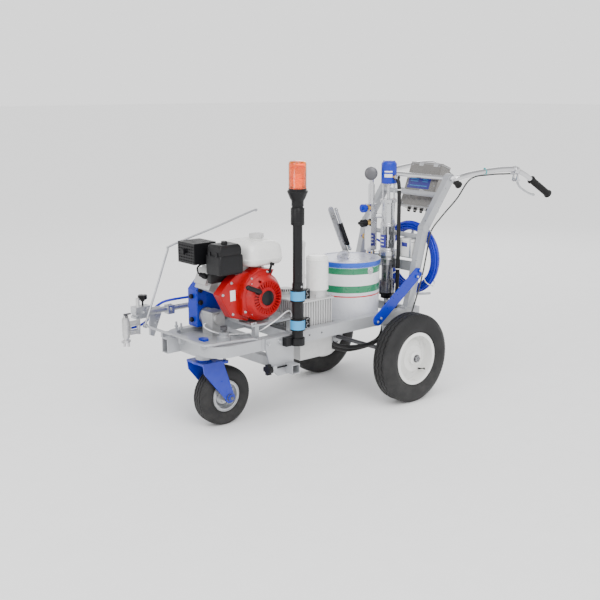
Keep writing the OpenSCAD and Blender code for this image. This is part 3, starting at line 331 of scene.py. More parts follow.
class Kit:
    """One piece in the making. Every size and place is in mm, from the rear axle and the ground."""

    def __init__(self):
        self.bm = bmesh.new()

    def vert(self, p):
        return self.bm.verts.new(at(*p))

    def bridge(self, first, second):
        n = max(len(first), len(second))
        for k in range(n):
            corners = [first[k % len(first)], first[(k + 1) % len(first)],
                       second[(k + 1) % len(second)], second[k % len(second)]]
            unique = list(dict.fromkeys(corners))
            if len(unique) > 2:
                self.bm.faces.new(unique)

    def skin(self, rings):
        """Joins rings of vertices and caps both ends."""
        for lower, upper in zip(rings, rings[1:]):
            self.bridge(lower, upper)
        self.bm.faces.new(rings[0][::-1])
        self.bm.faces.new(rings[-1])
        return self

    def lathe(self, profile, start, axis=Z, steps=48):
        """Turns (radius, distance along the axis) points about the line from start."""
        turn = Z.rotation_difference(Vector(axis).normalized())
        start = Vector(start)
        rings = []
        for radius, along in profile:
            if radius < 0.01:
                rings.append([self.vert(start + turn @ Vector((0, 0, along)))])
            else:
                rings.append([self.vert(start + turn @ Vector((radius * cos(a), radius * sin(a), along)))
                              for a in ring_angles(steps)])
        for lower, upper in zip(rings, rings[1:]):
            self.bridge(lower, upper)
        return self

    def disc(self, radius, height, start, axis=Z, steps=32, round_by=1.0):
        """A short cylinder with eased edges."""
        e = min(round_by, height / 3, radius / 3)
        profile = [(0, 0), (radius - e, 0), (radius, e), (radius, height - e), (radius - e, height),
                   (0, height)]
        return self.lathe(profile, start, axis, steps)

    def tube(self, points, radius, sides=16):
        """A round bar along a smooth line of points. The radius may be a function of 0 to 1."""
        points = [Vector(p) for p in points]
        last = len(points) - 1
        side = None
        rings = []
        for i, p in enumerate(points):
            ahead = (points[min(i + 1, last)] - points[max(i - 1, 0)]).normalized()
            if side is None:
                side = ahead.cross(Z if abs(ahead.z) < 0.9 else X)
            side = (side - side.project(ahead)).normalized()
            across = ahead.cross(side)
            r = radius(i / last) if callable(radius) else radius
            rings.append([self.vert(p + r * (cos(a) * side + sin(a) * across)) for a in ring_angles(sides)])
        return self.skin(rings)

    def ring(self, centre, axis, radius, thick, steps=48, sides=10, flat=1.0):
        """A round ring. flat stretches its section along the axis."""
        profile = [(radius + thick * cos(a), thick * flat * sin(a)) for a in ring_angles(sides)]
        return self.lathe(profile + profile[:1], centre, axis, steps)

    def box(self, low, high, bevel=1.0, turn=None, about=(0, 0, 0)):
        """A box with eased edges, turned about a point if asked."""
        low, high, about = Vector(low), Vector(high), Vector(about)
        corners = []
        for x in (low.x, high.x):
            for y in (low.y, high.y):
                for z in (low.z, high.z):
                    p = Vector((x, y, z))
                    corners.append(self.vert(about + turn @ p if turn else p))
        faces = [(0, 1, 3, 2), (4, 6, 7, 5), (0, 4, 5, 1), (2, 3, 7, 6), (0, 2, 6, 4), (1, 5, 7, 3)]
        made = [self.bm.faces.new([corners[i] for i in f]) for f in faces]
        if bevel:
            edges = list(dict.fromkeys(e for f in made for e in f.edges))
            bmesh.ops.bevel(self.bm, geom=edges, offset=bevel * MM, segments=2, profile=0.6, affect="EDGES")
        return self

    def loft(self, sections):
        """Closed outlines of equal length, joined and capped."""
        return self.skin([[self.vert(p) for p in outline] for outline in sections])

    def bolt(self, p, axis, across=13.0, washer=True):
        """A hex head with its washer, standing on p."""
        axis = Vector(axis).normalized()
        p = Vector(p)
        lift = 0.0
        if washer:
            self.disc(across * 0.75, 1.6, p, axis, 24, 0.4)
            lift = 1.6
        r = across / 2 / cos(pi / 6)
        h = across * 0.55
        self.lathe([(r, 0), (r, h - 1), (r - 1.2, h), (0, h)], p + lift * axis, axis, 6)
        return self

    def screw(self, p, axis, r=4.0):
        """A round-headed screw with a cross slot's shallow dish."""
        self.lathe([(r, 0), (r, 0.6), (r * 0.8, 1.9), (r * 0.35, 2.3), (r * 0.3, 1.2), (0, 1.2)], p, axis,
                   20)
        return self

    def done(self, name, look, body="root", crease=38, stands_for=()):
        bmesh.ops.remove_doubles(self.bm, verts=self.bm.verts, dist=1e-6)
        bmesh.ops.recalc_face_normals(self.bm, faces=self.bm.faces)
        mesh = bpy.data.meshes.new(name)
        self.bm.to_mesh(mesh)
        self.bm.free()
        mesh.shade_smooth()
        mesh.set_sharp_from_angle(angle=radians(crease))
        piece = placed(name, mesh)
        mesh.materials.append(finish(look))
        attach(piece, body)
        if stands_for:
            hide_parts(*stands_for)
        return piece


def squared_off(value, power):
    """A sine or cosine bent towards a square's. The power 2 leaves it as it is."""
    return abs(value) ** (2 / power) * (1 if value >= 0 else -1)


def superellipse(centre, half, power, z, n=64):
    """A rounded rectangle in the plane of height z."""
    return [(centre[0] + half[0] * squared_off(cos(a), power),
             centre[1] + half[1] * squared_off(sin(a), power), z) for a in ring_angles(n)]


# ---- the paint hose ----

COIL = Vector((-262, 62, 600))
COIL_R = 152
LEAD = [(-84, -88, 700), (-84, -98, 700), (-92, -110, 697), (-124, -126, 684), (-180, -132, 676),
        (-222, -124, 660), (-240, -110, 638), (-242, -101, 613)]
GUN_TAIL = [(-272, -97, 542), (-266, -84, 508), (-256, -78, 476), (-236, -92, 448), (-206, -132, 428),
            (-176, -178, 416), (-150, -208, 412), (-100, -226, 414), (60, -228, 418), (300, -228, 418),
            (540, -230, 422), (600, -240, 448), (640, -258, 484), (700, -280, 492), (780, -296, 492),
            (860, -306, 490), (900, -320, 482), (926, -340, 460), (946, -346, 432), (976, -341, 404),
            (1012, -336, 392), (1036, -331, 390), (1058.5, -330, 390)]
HOSE_D = 11
TURN_POINTS = 48


def coil_places():
    """Where each turn lies in the bundle's section: (out from the mean radius, along X)."""
    gap, row = 11.3, 9.8
    rows = [(2 * row, (1, 0, -1)), (row, (-1.5, -0.5, 0.5, 1.5)), (0, (1, 0, -1)),
            (-row, (-1.5, -0.5, 0.5, 1.5))]
    return [(k * gap, x) for x, line in rows for k in line]


def coil_line():
    """The coil's turns, one after another from the lead to the gun's tail."""
    places = coil_places()
    start, stop = 175.5, 200.0
    change = 40.0
    line = []
    total = stop - start + 360 * (len(places) - 1)
    steps = round(total / 360 * TURN_POINTS)
    for k in range(1, steps):
        angle = total * k / steps
        turn = min(int(angle // 360), len(places) - 1)
        into = angle - 360 * turn
        t = max(0.0, (into - 360 + change) / change)
        t = t * t * (3 - 2 * t)
        here, following = places[turn], places[min(turn + 1, len(places) - 1)]
        out = here[0] + (following[0] - here[0]) * t
        along = here[1] + (following[1] - here[1]) * t
        a = radians(start + angle)
        line.append(COIL + Vector((along, (COIL_R + out) * cos(a), (COIL_R + out) * sin(a))))
    return line


def make_hose():
    line = smooth_route(LEAD, 6) + coil_line() + smooth_route(GUN_TAIL, 6)
    curve = bpy.data.curves.new("paint_hose", "CURVE")
    curve.dimensions = "3D"
    curve.bevel_depth = HOSE_D / 2 * MM
    curve.bevel_resolution = 3
    curve.use_fill_caps = True
    spline = curve.splines.new("POLY")
    spline.points.add(len(line) - 1)
    for point, p in zip(spline.points, line):
        point.co = (*at(*p), 1)
    curve.materials.append(finish("hose_blue"))
    hose = placed("paint_hose", curve)
    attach(hose, "root")
    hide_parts("hose_coil", "hose_tails")
    ties = Kit()
    for angle in (62, 128, 222, 318):
        a = radians(angle)
        centre = COIL + Vector((0, COIL_R * cos(a), COIL_R * sin(a)))
        ties.ring(centre, (0, -sin(a), cos(a)), 27.5, 1.4, steps=28, sides=8, flat=2.4)
        out = Vector((0, cos(a), sin(a)))
        ties.box((-4, -3, -3), (4, 3, 3), 0.6, out.to_track_quat("Z", "X").to_matrix(), centre + 30 * out)
    tied = ties.done("hose_ties", "tie_white")


# ---- wheels ----

def tread_section(r_out, r_in, width, shift, lug):
    """A tyre's outline as (radius, across) points, with its grooves moved sideways by shift."""
    middle, half = (r_out + r_in) / 2, (r_out - r_in) / 2
    points = [(r_in - 1, -0.36 * width), (r_in, -0.37 * width)]
    tread = width * 0.34
    wall = []
    for t in range(232, 148, -7):
        r = middle + half * squared_off(sin(radians(t)), 2.6)
        y = width / 2 * squared_off(cos(radians(t)), 2.6)
        if y < -tread - 1.5:
            wall.append((min(r, r_out - 4), y))
    ribs = [(r + (0.9 if k % 3 == 0 else 0.0), y) for k, (r, y) in enumerate(wall)]
    points += ribs
    points.append((r_out - 3.2 - lug, -tread - 1.0))
    points.append((r_out - 2.0, -tread + 1.0))
    for g in (-0.2, 0.0, 0.2):
        y = g * width + shift
        crown = r_out - 4 * abs(g)
        points += [(crown, y - 2.6), (crown - 4.0, y - 1.7), (crown - 4.0, y + 1.7), (crown, y + 2.6)]
    points.append((r_out - 2.0, tread - 1.0))
    points.append((r_out - 3.2 - lug, tread + 1.0))
    points += [(r, -y) for r, y in reversed(ribs)]
    points += [(r_in, 0.37 * width), (r_in - 1, 0.36 * width)]
    return points


def make_tyre(name, centre, r_out, r_in, width, waves, body, node):
    kit = Kit()
    steps = waves * 8
    rings = []
    for k in range(steps):
        phase = (k % 8) / 8
        zigzag = (4 * abs(phase - 0.5) - 1) * width * 0.035
        lug = 3.0 if k % 4 == 0 else 0.0
        a = 2 * pi * k / steps
        rings.append([kit.vert((centre[0] + r * cos(a), centre[1] + y, centre[2] + r * sin(a)))
                      for r, y in tread_section(r_out, r_in, width, zigzag, lug)])
    for k in range(steps):
        kit.bridge(rings[k], rings[(k + 1) % steps])
    kit.done(name, "tyre", body, crease=30, stands_for=(node,))


def make_wheels():
    for side, sign in (("left", 1), ("right", -1)):
        make_tyre(side + "_tread", (0, sign * WHEEL_Y, WHEEL_R), WHEEL_R, 112, 100, 44, side + "_wheel",
                  side + "_tyre")
        stem = Kit()
        stem.tube([(-64, sign * 300, 136), (-63, sign * 322, 138), (-61, sign * 332, 141)], 4.2, 12)
        stem.disc(5.0, 9, (-61, sign * 331, 141), (0.1, sign, 0.25), 16)
        stem.done(side + "_valve", "black_plastic", side + "_wheel")
        hub = Kit()
        hub.lathe([(29.5, 0), (29.5, 3), (27, 5), (24, 5.5)], (0, sign * 334, WHEEL_R),
                  (0, sign, 0), 40)
        hub.ring((0, sign * 324, WHEEL_R), Y, 60, 1.6, 64, 8)
        hub.ring((0, sign * 340.5, WHEEL_R), Y, 112, 3.0, 96, 8)
        hub.done(side + "_rim_trim", "white_paint", side + "_wheel")
        cap = Kit()
        cap.lathe([(14, 0), (14, 5), (11, 7.6), (0, 8.6)], (0, sign * 345.6, WHEEL_R), (0, sign, 0), 32)
        cap.done(side + "_axle_cap", "zinc", "root")
    make_tyre("caster_tread", CASTER, 127, 62, 80, 36, "caster_wheel", "caster_tyre")
    ring = Kit()
    x, _, z = CASTER
    for sign in (1, -1):
        ring.ring((x, sign * 32, z), Y, 64, 2.2, 72, 8)
        for px, pz in around(x, z, 30, 5, 0):
            ring.bolt((px, sign * 12, pz), (0, sign, 0), 7, washer=False)
    ring.done("caster_rim_trim", "zinc", "caster_wheel")
    nuts = Kit()
    for sign in (1, -1):
        nuts.disc(17, 3, (x, sign * 60, z), (0, sign, 0), 32, 0.8)
        nuts.lathe([(8, 0), (8, 6), (6.5, 8), (0, 8)], (x, sign * 70, z), (0, sign, 0), 20)
    nuts.done("caster_axle_nuts", "dark_steel", "caster")


# ---- routes of bars, cables and hoses, in mm ----

BAR_ROUTE = [(-366, 160, 974), (-372, 208, 976), (-396, 224, 981), (-470, 230, 992), (-600, 244, 1002),
             (-700, 256, 1004), (-760, 263, 998), (-820, 270, 976), (-870, 276, 948), (-1000, 290, 868)]
CABLE_ROUTE = [(-750, 261, 980), (-700, 254, 981), (-600, 240, 982), (-480, 222, 968), (-396, 212, 880),
               (-300, 208, 806), (-226, 208, 740), (-200, 208, 640), (-172, 210, 540), (-130, 214, 440),
               (-66, 226, 330), (-12, 236, 268)]
RETURN_ROUTE = [(342, 60, 290), (322, 62, 287), (290, 78, 264), (220, 104, 236), (110, 108, 230),
                (0, 92, 238), (-66, 64, 266), (-104, 36, 330), (-130, 24, 372), (-135, 20, 396),
                (-135, 20, 412)]
FEED_ROUTE = [(342, 124, 300), (324, 125, 297), (290, 132, 274), (210, 138, 252), (100, 138, 246),
              (0, 128, 254), (-70, 108, 290), (-110, 94, 350), (-130, 88, 430), (-136, 88, 560),
              (-136, 88, 760), (-136, 86, 930), (-136, 76, 974), (-135, 64, 985), (-135, 57, 985)]
ENGINE_WIRE = [(849, -76, 424), (860, -74, 420), (864, -60, 410), (850, -20, 398), (812, 8, 387),
               (771, 30, 385), (744, 66, 390), (730, 112, 402), (716, 150, 424), (690, 160, 440),
               (659, 160, 452), (604, 158, 478), (578, 150, 476), (562, 140, 462), (560, 136, 449)]


def arc_plate(kit, centre, radius, thick, low, high, start, stop, steps=24):
    """A curved plate round the upright line through centre, from one angle to another."""
    rings = []
    for k in range(steps + 1):
        a = radians(start + (stop - start) * k / steps)
        rings.append([kit.vert((centre[0] + r * cos(a), centre[1] + r * sin(a), z))
                      for r, z in ((radius, low), (radius + thick, low), (radius + thick, high),
                                   (radius, high))])
    kit.skin(rings)


def mirrored(points, sign):
    return [(x, sign * y, z) for x, y, z in points]


# ---- frame ----

def make_frame_trim():
    bolts = Kit()
    for x, z in ((-154, 566), (-138, 540), (96, 380), (116, 366)):
        for sign in (1, -1):
            bolts.bolt((x, sign * 212, z), (0, sign, 0), 11, washer=False)
    for x in (-134, -76):
        for sign in (1, -1):
            bolts.bolt((x, sign * 185, 403), Z, 8, washer=False)
    for x, y in ((606, -96), (606, 136), (766, -96), (766, 136), (655, -60), (655, 100)):
        bolts.bolt((x, y, 446), Z, 12)
    for x in (560, 752):
        for y in (-96, 136):
            bolts.bolt((x, y, 446), Z, 11)
    for x in (622, 680, 738):
        bolts.bolt((x, 206, 372), Y, 12)
    for z in (256, 380):
        bolts.bolt((672, -234, z + 60), -Y, 11)
    bolts.done("frame_bolts", "zinc")
    welds = Kit()
    for sign in (1, -1):
        for x in (-60, 60):
            line = [(x * lean, sign * 189, z) for lean, z in ((0.96, 366), (0.75, 310), (0.55, 250))]
            welds.tube(smooth_route(line, 4), 2.6, 8)
        for a, b, r in (((-142, 205, 396), (-68, 205, 396), 2.4), ((605, 204, 391), (752, 204, 391), 2.0),
                        ((765, 199, 349), (765, 199, 391), 2.2), ((-178, 170, 551), (-168, 170, 551), 2.0)):
            welds.tube(mirrored([a, b], sign), r, 8)
    welds.ring((915, 0, 344), Z, 35.5, 2.6, 48, 8)
    welds.ring((855, 60, 377), Z, 29.4, 2.2, 40, 8)
    welds.ring((855, 60, 397), Z, 20.6, 1.8, 40, 8)
    welds.done("weld_beads", "frame_paint")
    ends = Kit()
    for sign in (1, -1):
        ends.ring((-366, sign * 185, 974), Y, 23.4, 1.2, 48, 8, flat=9)
        ends.ring((-200, sign * 201, 755), Y, 20.0, 1.4, 40, 8)
    ends.done("post_rings", "frame_paint")


# ---- engine ----

def make_engine_trim():
    x, z = CRANK_X, CRANK_Z
    hub = Kit()
    hub.lathe([(0, 0), (31, 0), (31, 2.2), (28.5, 4.2), (0, 5.2)], (x, 162, z), Y, 64)
    hub.done("recoil_badge", "black_plastic")
    ring = Kit()
    ring.ring((x, 163, z), Y, 33.5, 2.0, 72, 8)
    ring.ring((x, 161.6, z), Y, 71.5, 2.2, 72, 8)
    for k in range(30):
        a = radians(12 * k + 6)
        lift = Matrix.Rotation(-a, 3, "Y")
        ring.box((43, -1.6, -1.7), (69, 1.4, 1.7), 0.7, lift, (x, 162.4, z))
    for k in range(24):
        a = radians(15 * k)
        tilt = Matrix.Rotation(-a, 3, "Y") @ Matrix.Rotation(radians(-46), 3, "Z")
        ring.box((76, -3, -1.3), (86, 2.6, 1.3), 0.6, tilt, (x, 152, z))
    ring.done("recoil_ribs", "red_paint")
    screws = Kit()
    for px, pz in around(x, z, 87.2):
        screws.bolt((px, 137.6, pz), Y, 8, washer=False)
    for px, pz in ((676, 652), (758, 632), (788, 600), (792, 500)):
        screws.bolt((px, 123.6, pz), Y, 8)
    for px, pz in ((842, 622), (886, 578), (838, 492)):
        screws.bolt((px, 99.6, pz), Y, 8)
    screws.done("shroud_screws", "zinc")
    seam = Kit()
    outline = [(x - 58, 124.2, z + 101), (x + 4, 124.2, z + 113), (x + 60, 124.2, z + 88),
               (x + 84, 124.2, z + 60), (x + 96, 124.2, z + 6), (x + 94, 124.2, z - 58),
               (x + 72, 124.2, z - 71)]
    seam.tube(smooth_route(outline, 6), 2.4, 10)
    edge = [(x + 104, 100, z + 98), (x + 110, 100, z + 97), (x + 149, 100, z + 71), (x + 192, 100, z + 27),
            (x + 166, 100, z - 21), (x + 137, 100, z - 69), (x + 66, 100, z - 90)]
    seam.tube(edge, 1.8, 10)
    seam.done("shroud_bead", "red_paint")
    labels = Kit()
    labels.box((-9, 0, -15), (9, 0.7, 15), 0.3, Matrix.Rotation(radians(4), 3, "Y"), (x + 80, 124.4, z + 22))
    labels.box((-13, 0, -22), (13, 0.7, 22), 0.3, Matrix.Rotation(radians(2), 3, "Y"),
               (x + 131, 100.4, z + 18))
    labels.done("shroud_label", "label_white")
    plug = Kit()
    turn = Matrix.Rotation(radians(65), 3, "Y")
    foot = Vector((x, -26, z)) + turn @ Vector((0, 30, 214))
    along = turn @ Z
    plug.lathe([(0, 0), (11, 0), (12, 4), (12, 16), (9, 20), (9, 32), (0, 34)], foot - 2 * along, along, 28)
    lead = [foot + 26 * along, foot + 38 * along + Vector((0, -4, 4)), Vector((926, -14, 682)),
            Vector((890, -24, 690)), Vector((840, -14, 684)), Vector((800, 10, 668)),
            Vector((784, 40, 648)), Vector((778, 60, 634))]
    plug.tube(smooth_route(lead, 8), 3.5, 12)
    plug.done("plug_cap_and_lead", "black_plastic")
    wire = Kit()
    wire.tube(smooth_route(ENGINE_WIRE, 6), 2.6, 12)
    wire.done("engine_wire", "label_white")


def make_fuel_tank():
    kit = Kit()
    levels = [(676, 78, 89), (678, 84, 95), (683, 90, 101), (691, 94, 105), (699, 95, 106),
              (700, 96.6, 107.6), (705, 96.6, 107.6), (706, 94.6, 105.6), (736, 92.6, 103.6),
              (751, 89, 100), (761, 83, 94), (768, 74, 85), (772.4, 61, 72), (774, 44, 54)]
    kit.loft([superellipse((671, 16), (hx, hy), 6, z, 112) for z, hx, hy in levels])
    kit.lathe([(20, 0), (25, 0), (25, 5), (23.5, 6), (20, 6), (20, 0)], (650, 20, 774), Z, 48)
    kit.box((627, -40, 592), (640, 40, 681), 2)
    kit.box((697, -40, 627), (717, 40, 681), 2)
    kit.done("tank_shell", "white_paint", stands_for=("fuel_tank",))


def make_air_cleaner():
    kit = Kit()
    levels = [(662, 55, 46), (665, 58, 49), (670, 59, 50), (734, 59, 50), (738, 57, 48), (741, 54, 45),
              (744, 54.6, 45.6), (748, 55, 46), (768, 54, 45), (776, 51, 42), (782, 45, 36)]
    kit.loft([superellipse((859, 78), (hx, hy), 14, z, 128) for z, hx, hy in levels])
    for x in (820, 840, 878, 898):
        kit.box((x - 2, 126.4, 674), (x + 2, 127.9, 730), 0.6)
    for z in (684, 704, 722):
        kit.box((806, 126.4, z - 1), (912, 127.7, z + 1), 0.4)
    for y in (54, 102):
        kit.box((911, y - 7, 724), (917.9, y + 7, 754), 0.8)
    kit.lathe([(13.8, 0), (13.8, 9), (12, 11), (0, 11)], (859, 78, 782), Z, 6)
    kit.box((812, 30, 621), (910, 55, 664), 1)
    kit.done("air_cleaner_shell", "black_plastic", stands_for=("air_cleaner",))


def make_guard_trim():
    knobs = Kit()
    knob = [(0, 0), (9.5, 0), (11, 3), (11, 10), (8, 13), (0, 13)]
    for z in (430, 530):
        knobs.lathe(knob, (862, -152, z), X, 12)
    for z in (506, 560):
        knobs.lathe(knob, (846, -120, z), Y, 12)
    knobs.done("guard_knobs", "black_plastic")
    ridge = Kit()
    outline = [(644, -120, 596), (662, -120, 611), (806, -120, 611), (858, -120, 558), (859, -120, 405),
               (763, -120, 404)]
    ridge.tube(outline, 2.2, 8)
    ridge.done("guard_bead", "blue_paint")
    bolts = Kit()
    for px, pz in ((690, 600), (786, 597), (846, 440), (780, 420)):
        bolts.bolt((px, -120.4, pz), Y, 8)
    bolts.done("guard_bolts", "zinc")


# ---- hydraulics and paint ----

def make_tank_trim():
    rings = Kit()
    for z in (541, 668):
        rings.ring((*FILTER, z), Z, 49.2, 1.0, 72, 8, flat=2)
    for k, (x, y) in enumerate(around(*FILTER, 44, 12, 0)):
        rings.box((-4, -3, 674), (4, 3, 680), 1, Matrix.Rotation(radians(30 * k), 3, "Z"), (x, y, 0))
    rings.done("filter_flutes", "white_paint")
    cap = Kit()
    for k in range(18):
        a = radians(20 * k)
        cap.box((26.5, -2, 1), (29.2, 2, 11), 0.6, Matrix.Rotation(a, 3, "Z"), (460, -20, 520))
    cap.done("filler_ribs", "black_plastic")
    nuts = Kit()
    for x, y in ((352, -66), (352, 148), (514, -66), (514, 148)):
        nuts.bolt((x, y, 506), Z, 10)
    nuts.lathe([(0, 0), (16, 0), (16, 12), (0, 12)], (402, 104, 506), Z, 6)
    nuts.done("tank_bolts", "zinc")


def make_lid_handle():
    handle = Kit()
    hinge = Vector((PAIL_X + 34, 0, PAIL_TOP + 9))
    handle.tube([hinge + Vector((0, y, 0)) for y in (-36, 36)], 2.5, 20)
    loop = [(1.5, -36.5, -3), (-2, -37, 3), (-8, -34, 14), (-12, -20, 22), (-14, 0, 26), (-12, 20, 22),
            (-8, 34, 14), (-2, 37, 3), (1.5, 36.5, -3)]
    handle.tube(smooth_route([hinge + Vector(p) for p in loop], 8), 3, 20)
    handle.done("lid_bail_wire", "chrome", "lid_bail", stands_for=("lid_handle",))
    rim = Kit()
    rim.ring((PAIL_X, 0, PAIL_TOP + 1.5), Z, 146.6, 2.0, 128, 10)
    rim.ring((PAIL_X, 0, PAIL_TOP + 3.8), Z, 133, 1.6, 128, 10)
    rim.done("lid_bead", "lid_metal", "lid")
    ears = Kit()
    for sign in (1, -1):
        ears.disc(17, 3, (PAIL_X, sign * 142.5, 588), (0, sign, 0), 32)
        ears.disc(6, 6, (PAIL_X, sign * 144, 588), (0, sign, 0), 20)
    ears.done("pail_ears", "zinc")


def make_pump_trim():
    x, y = PUMP
    label = Kit()
    arc_plate(label, PUMP, 35.1, 0.5, 656, 716, -45, 30)
    label.done("pump_label", "label_blue")
    marks = Kit()
    for z in (668, 684, 700):
        arc_plate(marks, PUMP, 35.5, 0.4, z, z + 5, -30, 13)
    marks.done("pump_label_marks", "label_white")
    rings = Kit()
    for z, r in ((640, 42), (604, 42), (770, 35), (762, 35), (648, 35.2)):
        rings.ring((x, y, z), Z, r, 1.4, 72, 8)
    for z in (861, 880, 948):
        for px, py in around(x, y, 26):
            rings.lathe([(7, 0), (7, 6), (0, 6)], (px, py, z), Z, 6)
    rings.done("pump_nuts", "chrome")
    head = Kit()
    for z in (958, 1042):
        head.ring((x, y, z), Z, 35.6, 1.3, 72, 8)
    for px, py in around(x, y, 24, first=30):
        head.bolt((px, py, 1054.5), Z, 9, washer=False)
    head.done("pump_head_trim", "blue_paint")
    stripe = Kit()
    for low, high in ((985, 1000), (1008, 1014)):
        arc_plate(stripe, PUMP, 36.1, 0.4, low, high, 10, 70)
    stripe.done("pump_head_marks", "label_white")
    brass = Kit()
    brass.lathe([(19.4, 0), (20.6, 2), (20.6, 26), (19.4, 28)], (-84, -42, 606), Z, 6)
    brass.lathe([(0, 0), (13, 0), (13, 12), (10, 13), (10, 22), (0, 22)], (-84, -42, 860), Z, 6)
    brass.lathe([(13.4, 0), (13.4, 10), (10, 12), (0, 12)], (-84, -88.2, 700), Y, 6)
    brass.lathe([(0, 0), (12, 0), (12, 6), (9, 8), (9, 14), (0, 14)], (-84, -84, 830), -Y, 6)
    for z in (840, 770):
        brass.lathe([(0, 0), (13, 0), (13, 9), (0, 9)], (-64.5, -42, z), X, 6)
    brass.lathe([(12.6, 0), (12.6, 10), (9, 12), (0, 12)], (-135, 57.5, 985), Y, 6)
    brass.done("brass_fittings", "brass")
    facing = Vector((1, 1, 0)).normalized()
    back = Kit()
    back.lathe([(0, 0), (29.3, 0), (30, 1.5), (30, 3.5), (28.5, 5), (24, 7.5), (12, 9), (0, 9.4)],
               (-66, -28, 1000), facing, 72)
    back.ring((-76, -38, 1000), facing, 29.2, 1.2, 72, 8, flat=3)
    back.done("gauge_back", "dark_steel")
    rim = Kit()
    face = GAUGE_FACE
    rim.lathe([(24.5, 0), (29.3, 0), (30, 1.5), (30, 4.5), (28, 6), (25.5, 5), (24.5, 2), (24.5, 0)],
              face, -facing, 72)
    rim.done("gauge_rim", "chrome")
    dial = Kit()
    dial.disc(24.6, 1.2, face, -facing, 64, 0.2)
    dial.done("gauge_dial", "label_white")
    hands = Kit()
    side = facing.cross(Z)

    def on_dial(proud, radius, degrees):
        a = radians(degrees)
        return face - facing * proud - side * radius * cos(a) + Z * radius * sin(a)

    for k in range(11):
        hands.tube([on_dial(1.4, r, 225 - 27 * k) for r in (16.5, 20.5)], 0.5, 6)
    hands.tube([on_dial(1.9, r, 200) for r in (0, 15)], 0.8, 8)
    hands.disc(2.4, 2, face - facing * 1.2, -facing, 20, 0.3)
    hands.done("gauge_hand", "black_plastic")


# ---- controls ----

def on_box(x, y, z):
    """A point of the control box, from the foot of its front face."""
    return BOX_FOOT + BOX_TURN @ Vector((x, y, z))


def make_box_trim():
    label = Kit()
    label.box((1.5, -84, 92), (2.1, 56, 166), 0.2, *BOX)
    label.done("box_label", "label_blue")
    marks = Kit()
    for low, high, z in ((-70, 40, 152), (-70, -20, 138), (6, 40, 138), (-70, -20, 128), (6, 40, 128),
                         (-70, 40, 106)):
        marks.box((2.1, low, z - 1.5), (2.5, high, z + 1.5), 0.15, *BOX)
    marks.done("box_label_marks", "band_blue")
    screws = Kit()
    for y in (-85, 85):
        for z in (15, 112, 209):
            screws.screw(on_box(1.4, y, z), BOX_TURN @ X, 4)
    for y in (-92, 92):
        for z in (10, 214):
            screws.screw(on_box(-62, y, z), BOX_TURN @ -X, 4)
    screws.done("box_screws", "zinc")
    latches = Kit()
    for y in (-30, 62):
        latches.box((-14, y - 13, 222.5), (3.4, y + 13, 226), 1, *BOX)
        latches.box((1.0, y - 13, 206), (3.6, y + 13, 225), 1, *BOX)
        latches.lathe([(0, 0), (4, 0), (4, 1.2), (0, 1.6)], on_box(3.4, y, 213),
                      BOX_TURN @ X, 20)
    latches.done("box_latches", "stainless")
    seam = Kit()
    for z in (6, 218):
        seam.box((-60, -100.8, z - 1.2), (0.6, 100.8, z + 1.2), 0.5, *BOX)
    seam.box((-1.5, -101, 1), (0.8, 101, 3), 0.5, *BOX)
    seam.done("box_seams", "stainless")
    panel = Kit()
    panel.box((-66, -66, 150), (-63.9, 20, 194), 0.6, *BOX)
    panel.done("box_display", "dark_glass")
    keys = Kit()
    for k in range(4):
        keys.box((-67, -62 + 22 * k, 128), (-63.9, -46 + 22 * k, 142), 1.4, *BOX)
    for k in range(3):
        keys.box((-67, 32, 134 + 22 * k), (-63.9, 60, 148 + 22 * k), 1.4, *BOX)
    keys.done("box_keys", "band_blue")
    glands = Kit()
    for y in (-60, -20, 20, 60):
        glands.lathe([(8.4, 0), (9.6, 1), (9.6, 8), (8.4, 9)], on_box(-30, y, -9),
                     BOX_TURN @ Z, 6)
        glands.lathe([(6.4, 0), (7.4, 1), (7.4, 6), (0, 6)], on_box(-30, y, -19),
                     BOX_TURN @ Z, 20)
    glands.ring(on_box(-66, 40, 40), BOX_TURN @ X, 13.5, 1.2, 40, 8)
    glands.done("box_glands", "black_plastic")
    battery = Kit()
    battery.box((-149.2, 99, 667), (-148.4, 133, 687), 0.3)
    battery.done("battery_label", "label_blue")
    straps = Kit()
    for y in (84, 148):
        straps.box((-214.4, y - 5, 619), (-150.8, y + 5, 704.4), 1)
    straps.box((-213.8, 71.4, 690), (-151.4, 160.8, 693), 0.8)
    straps.done("battery_straps", "stainless")


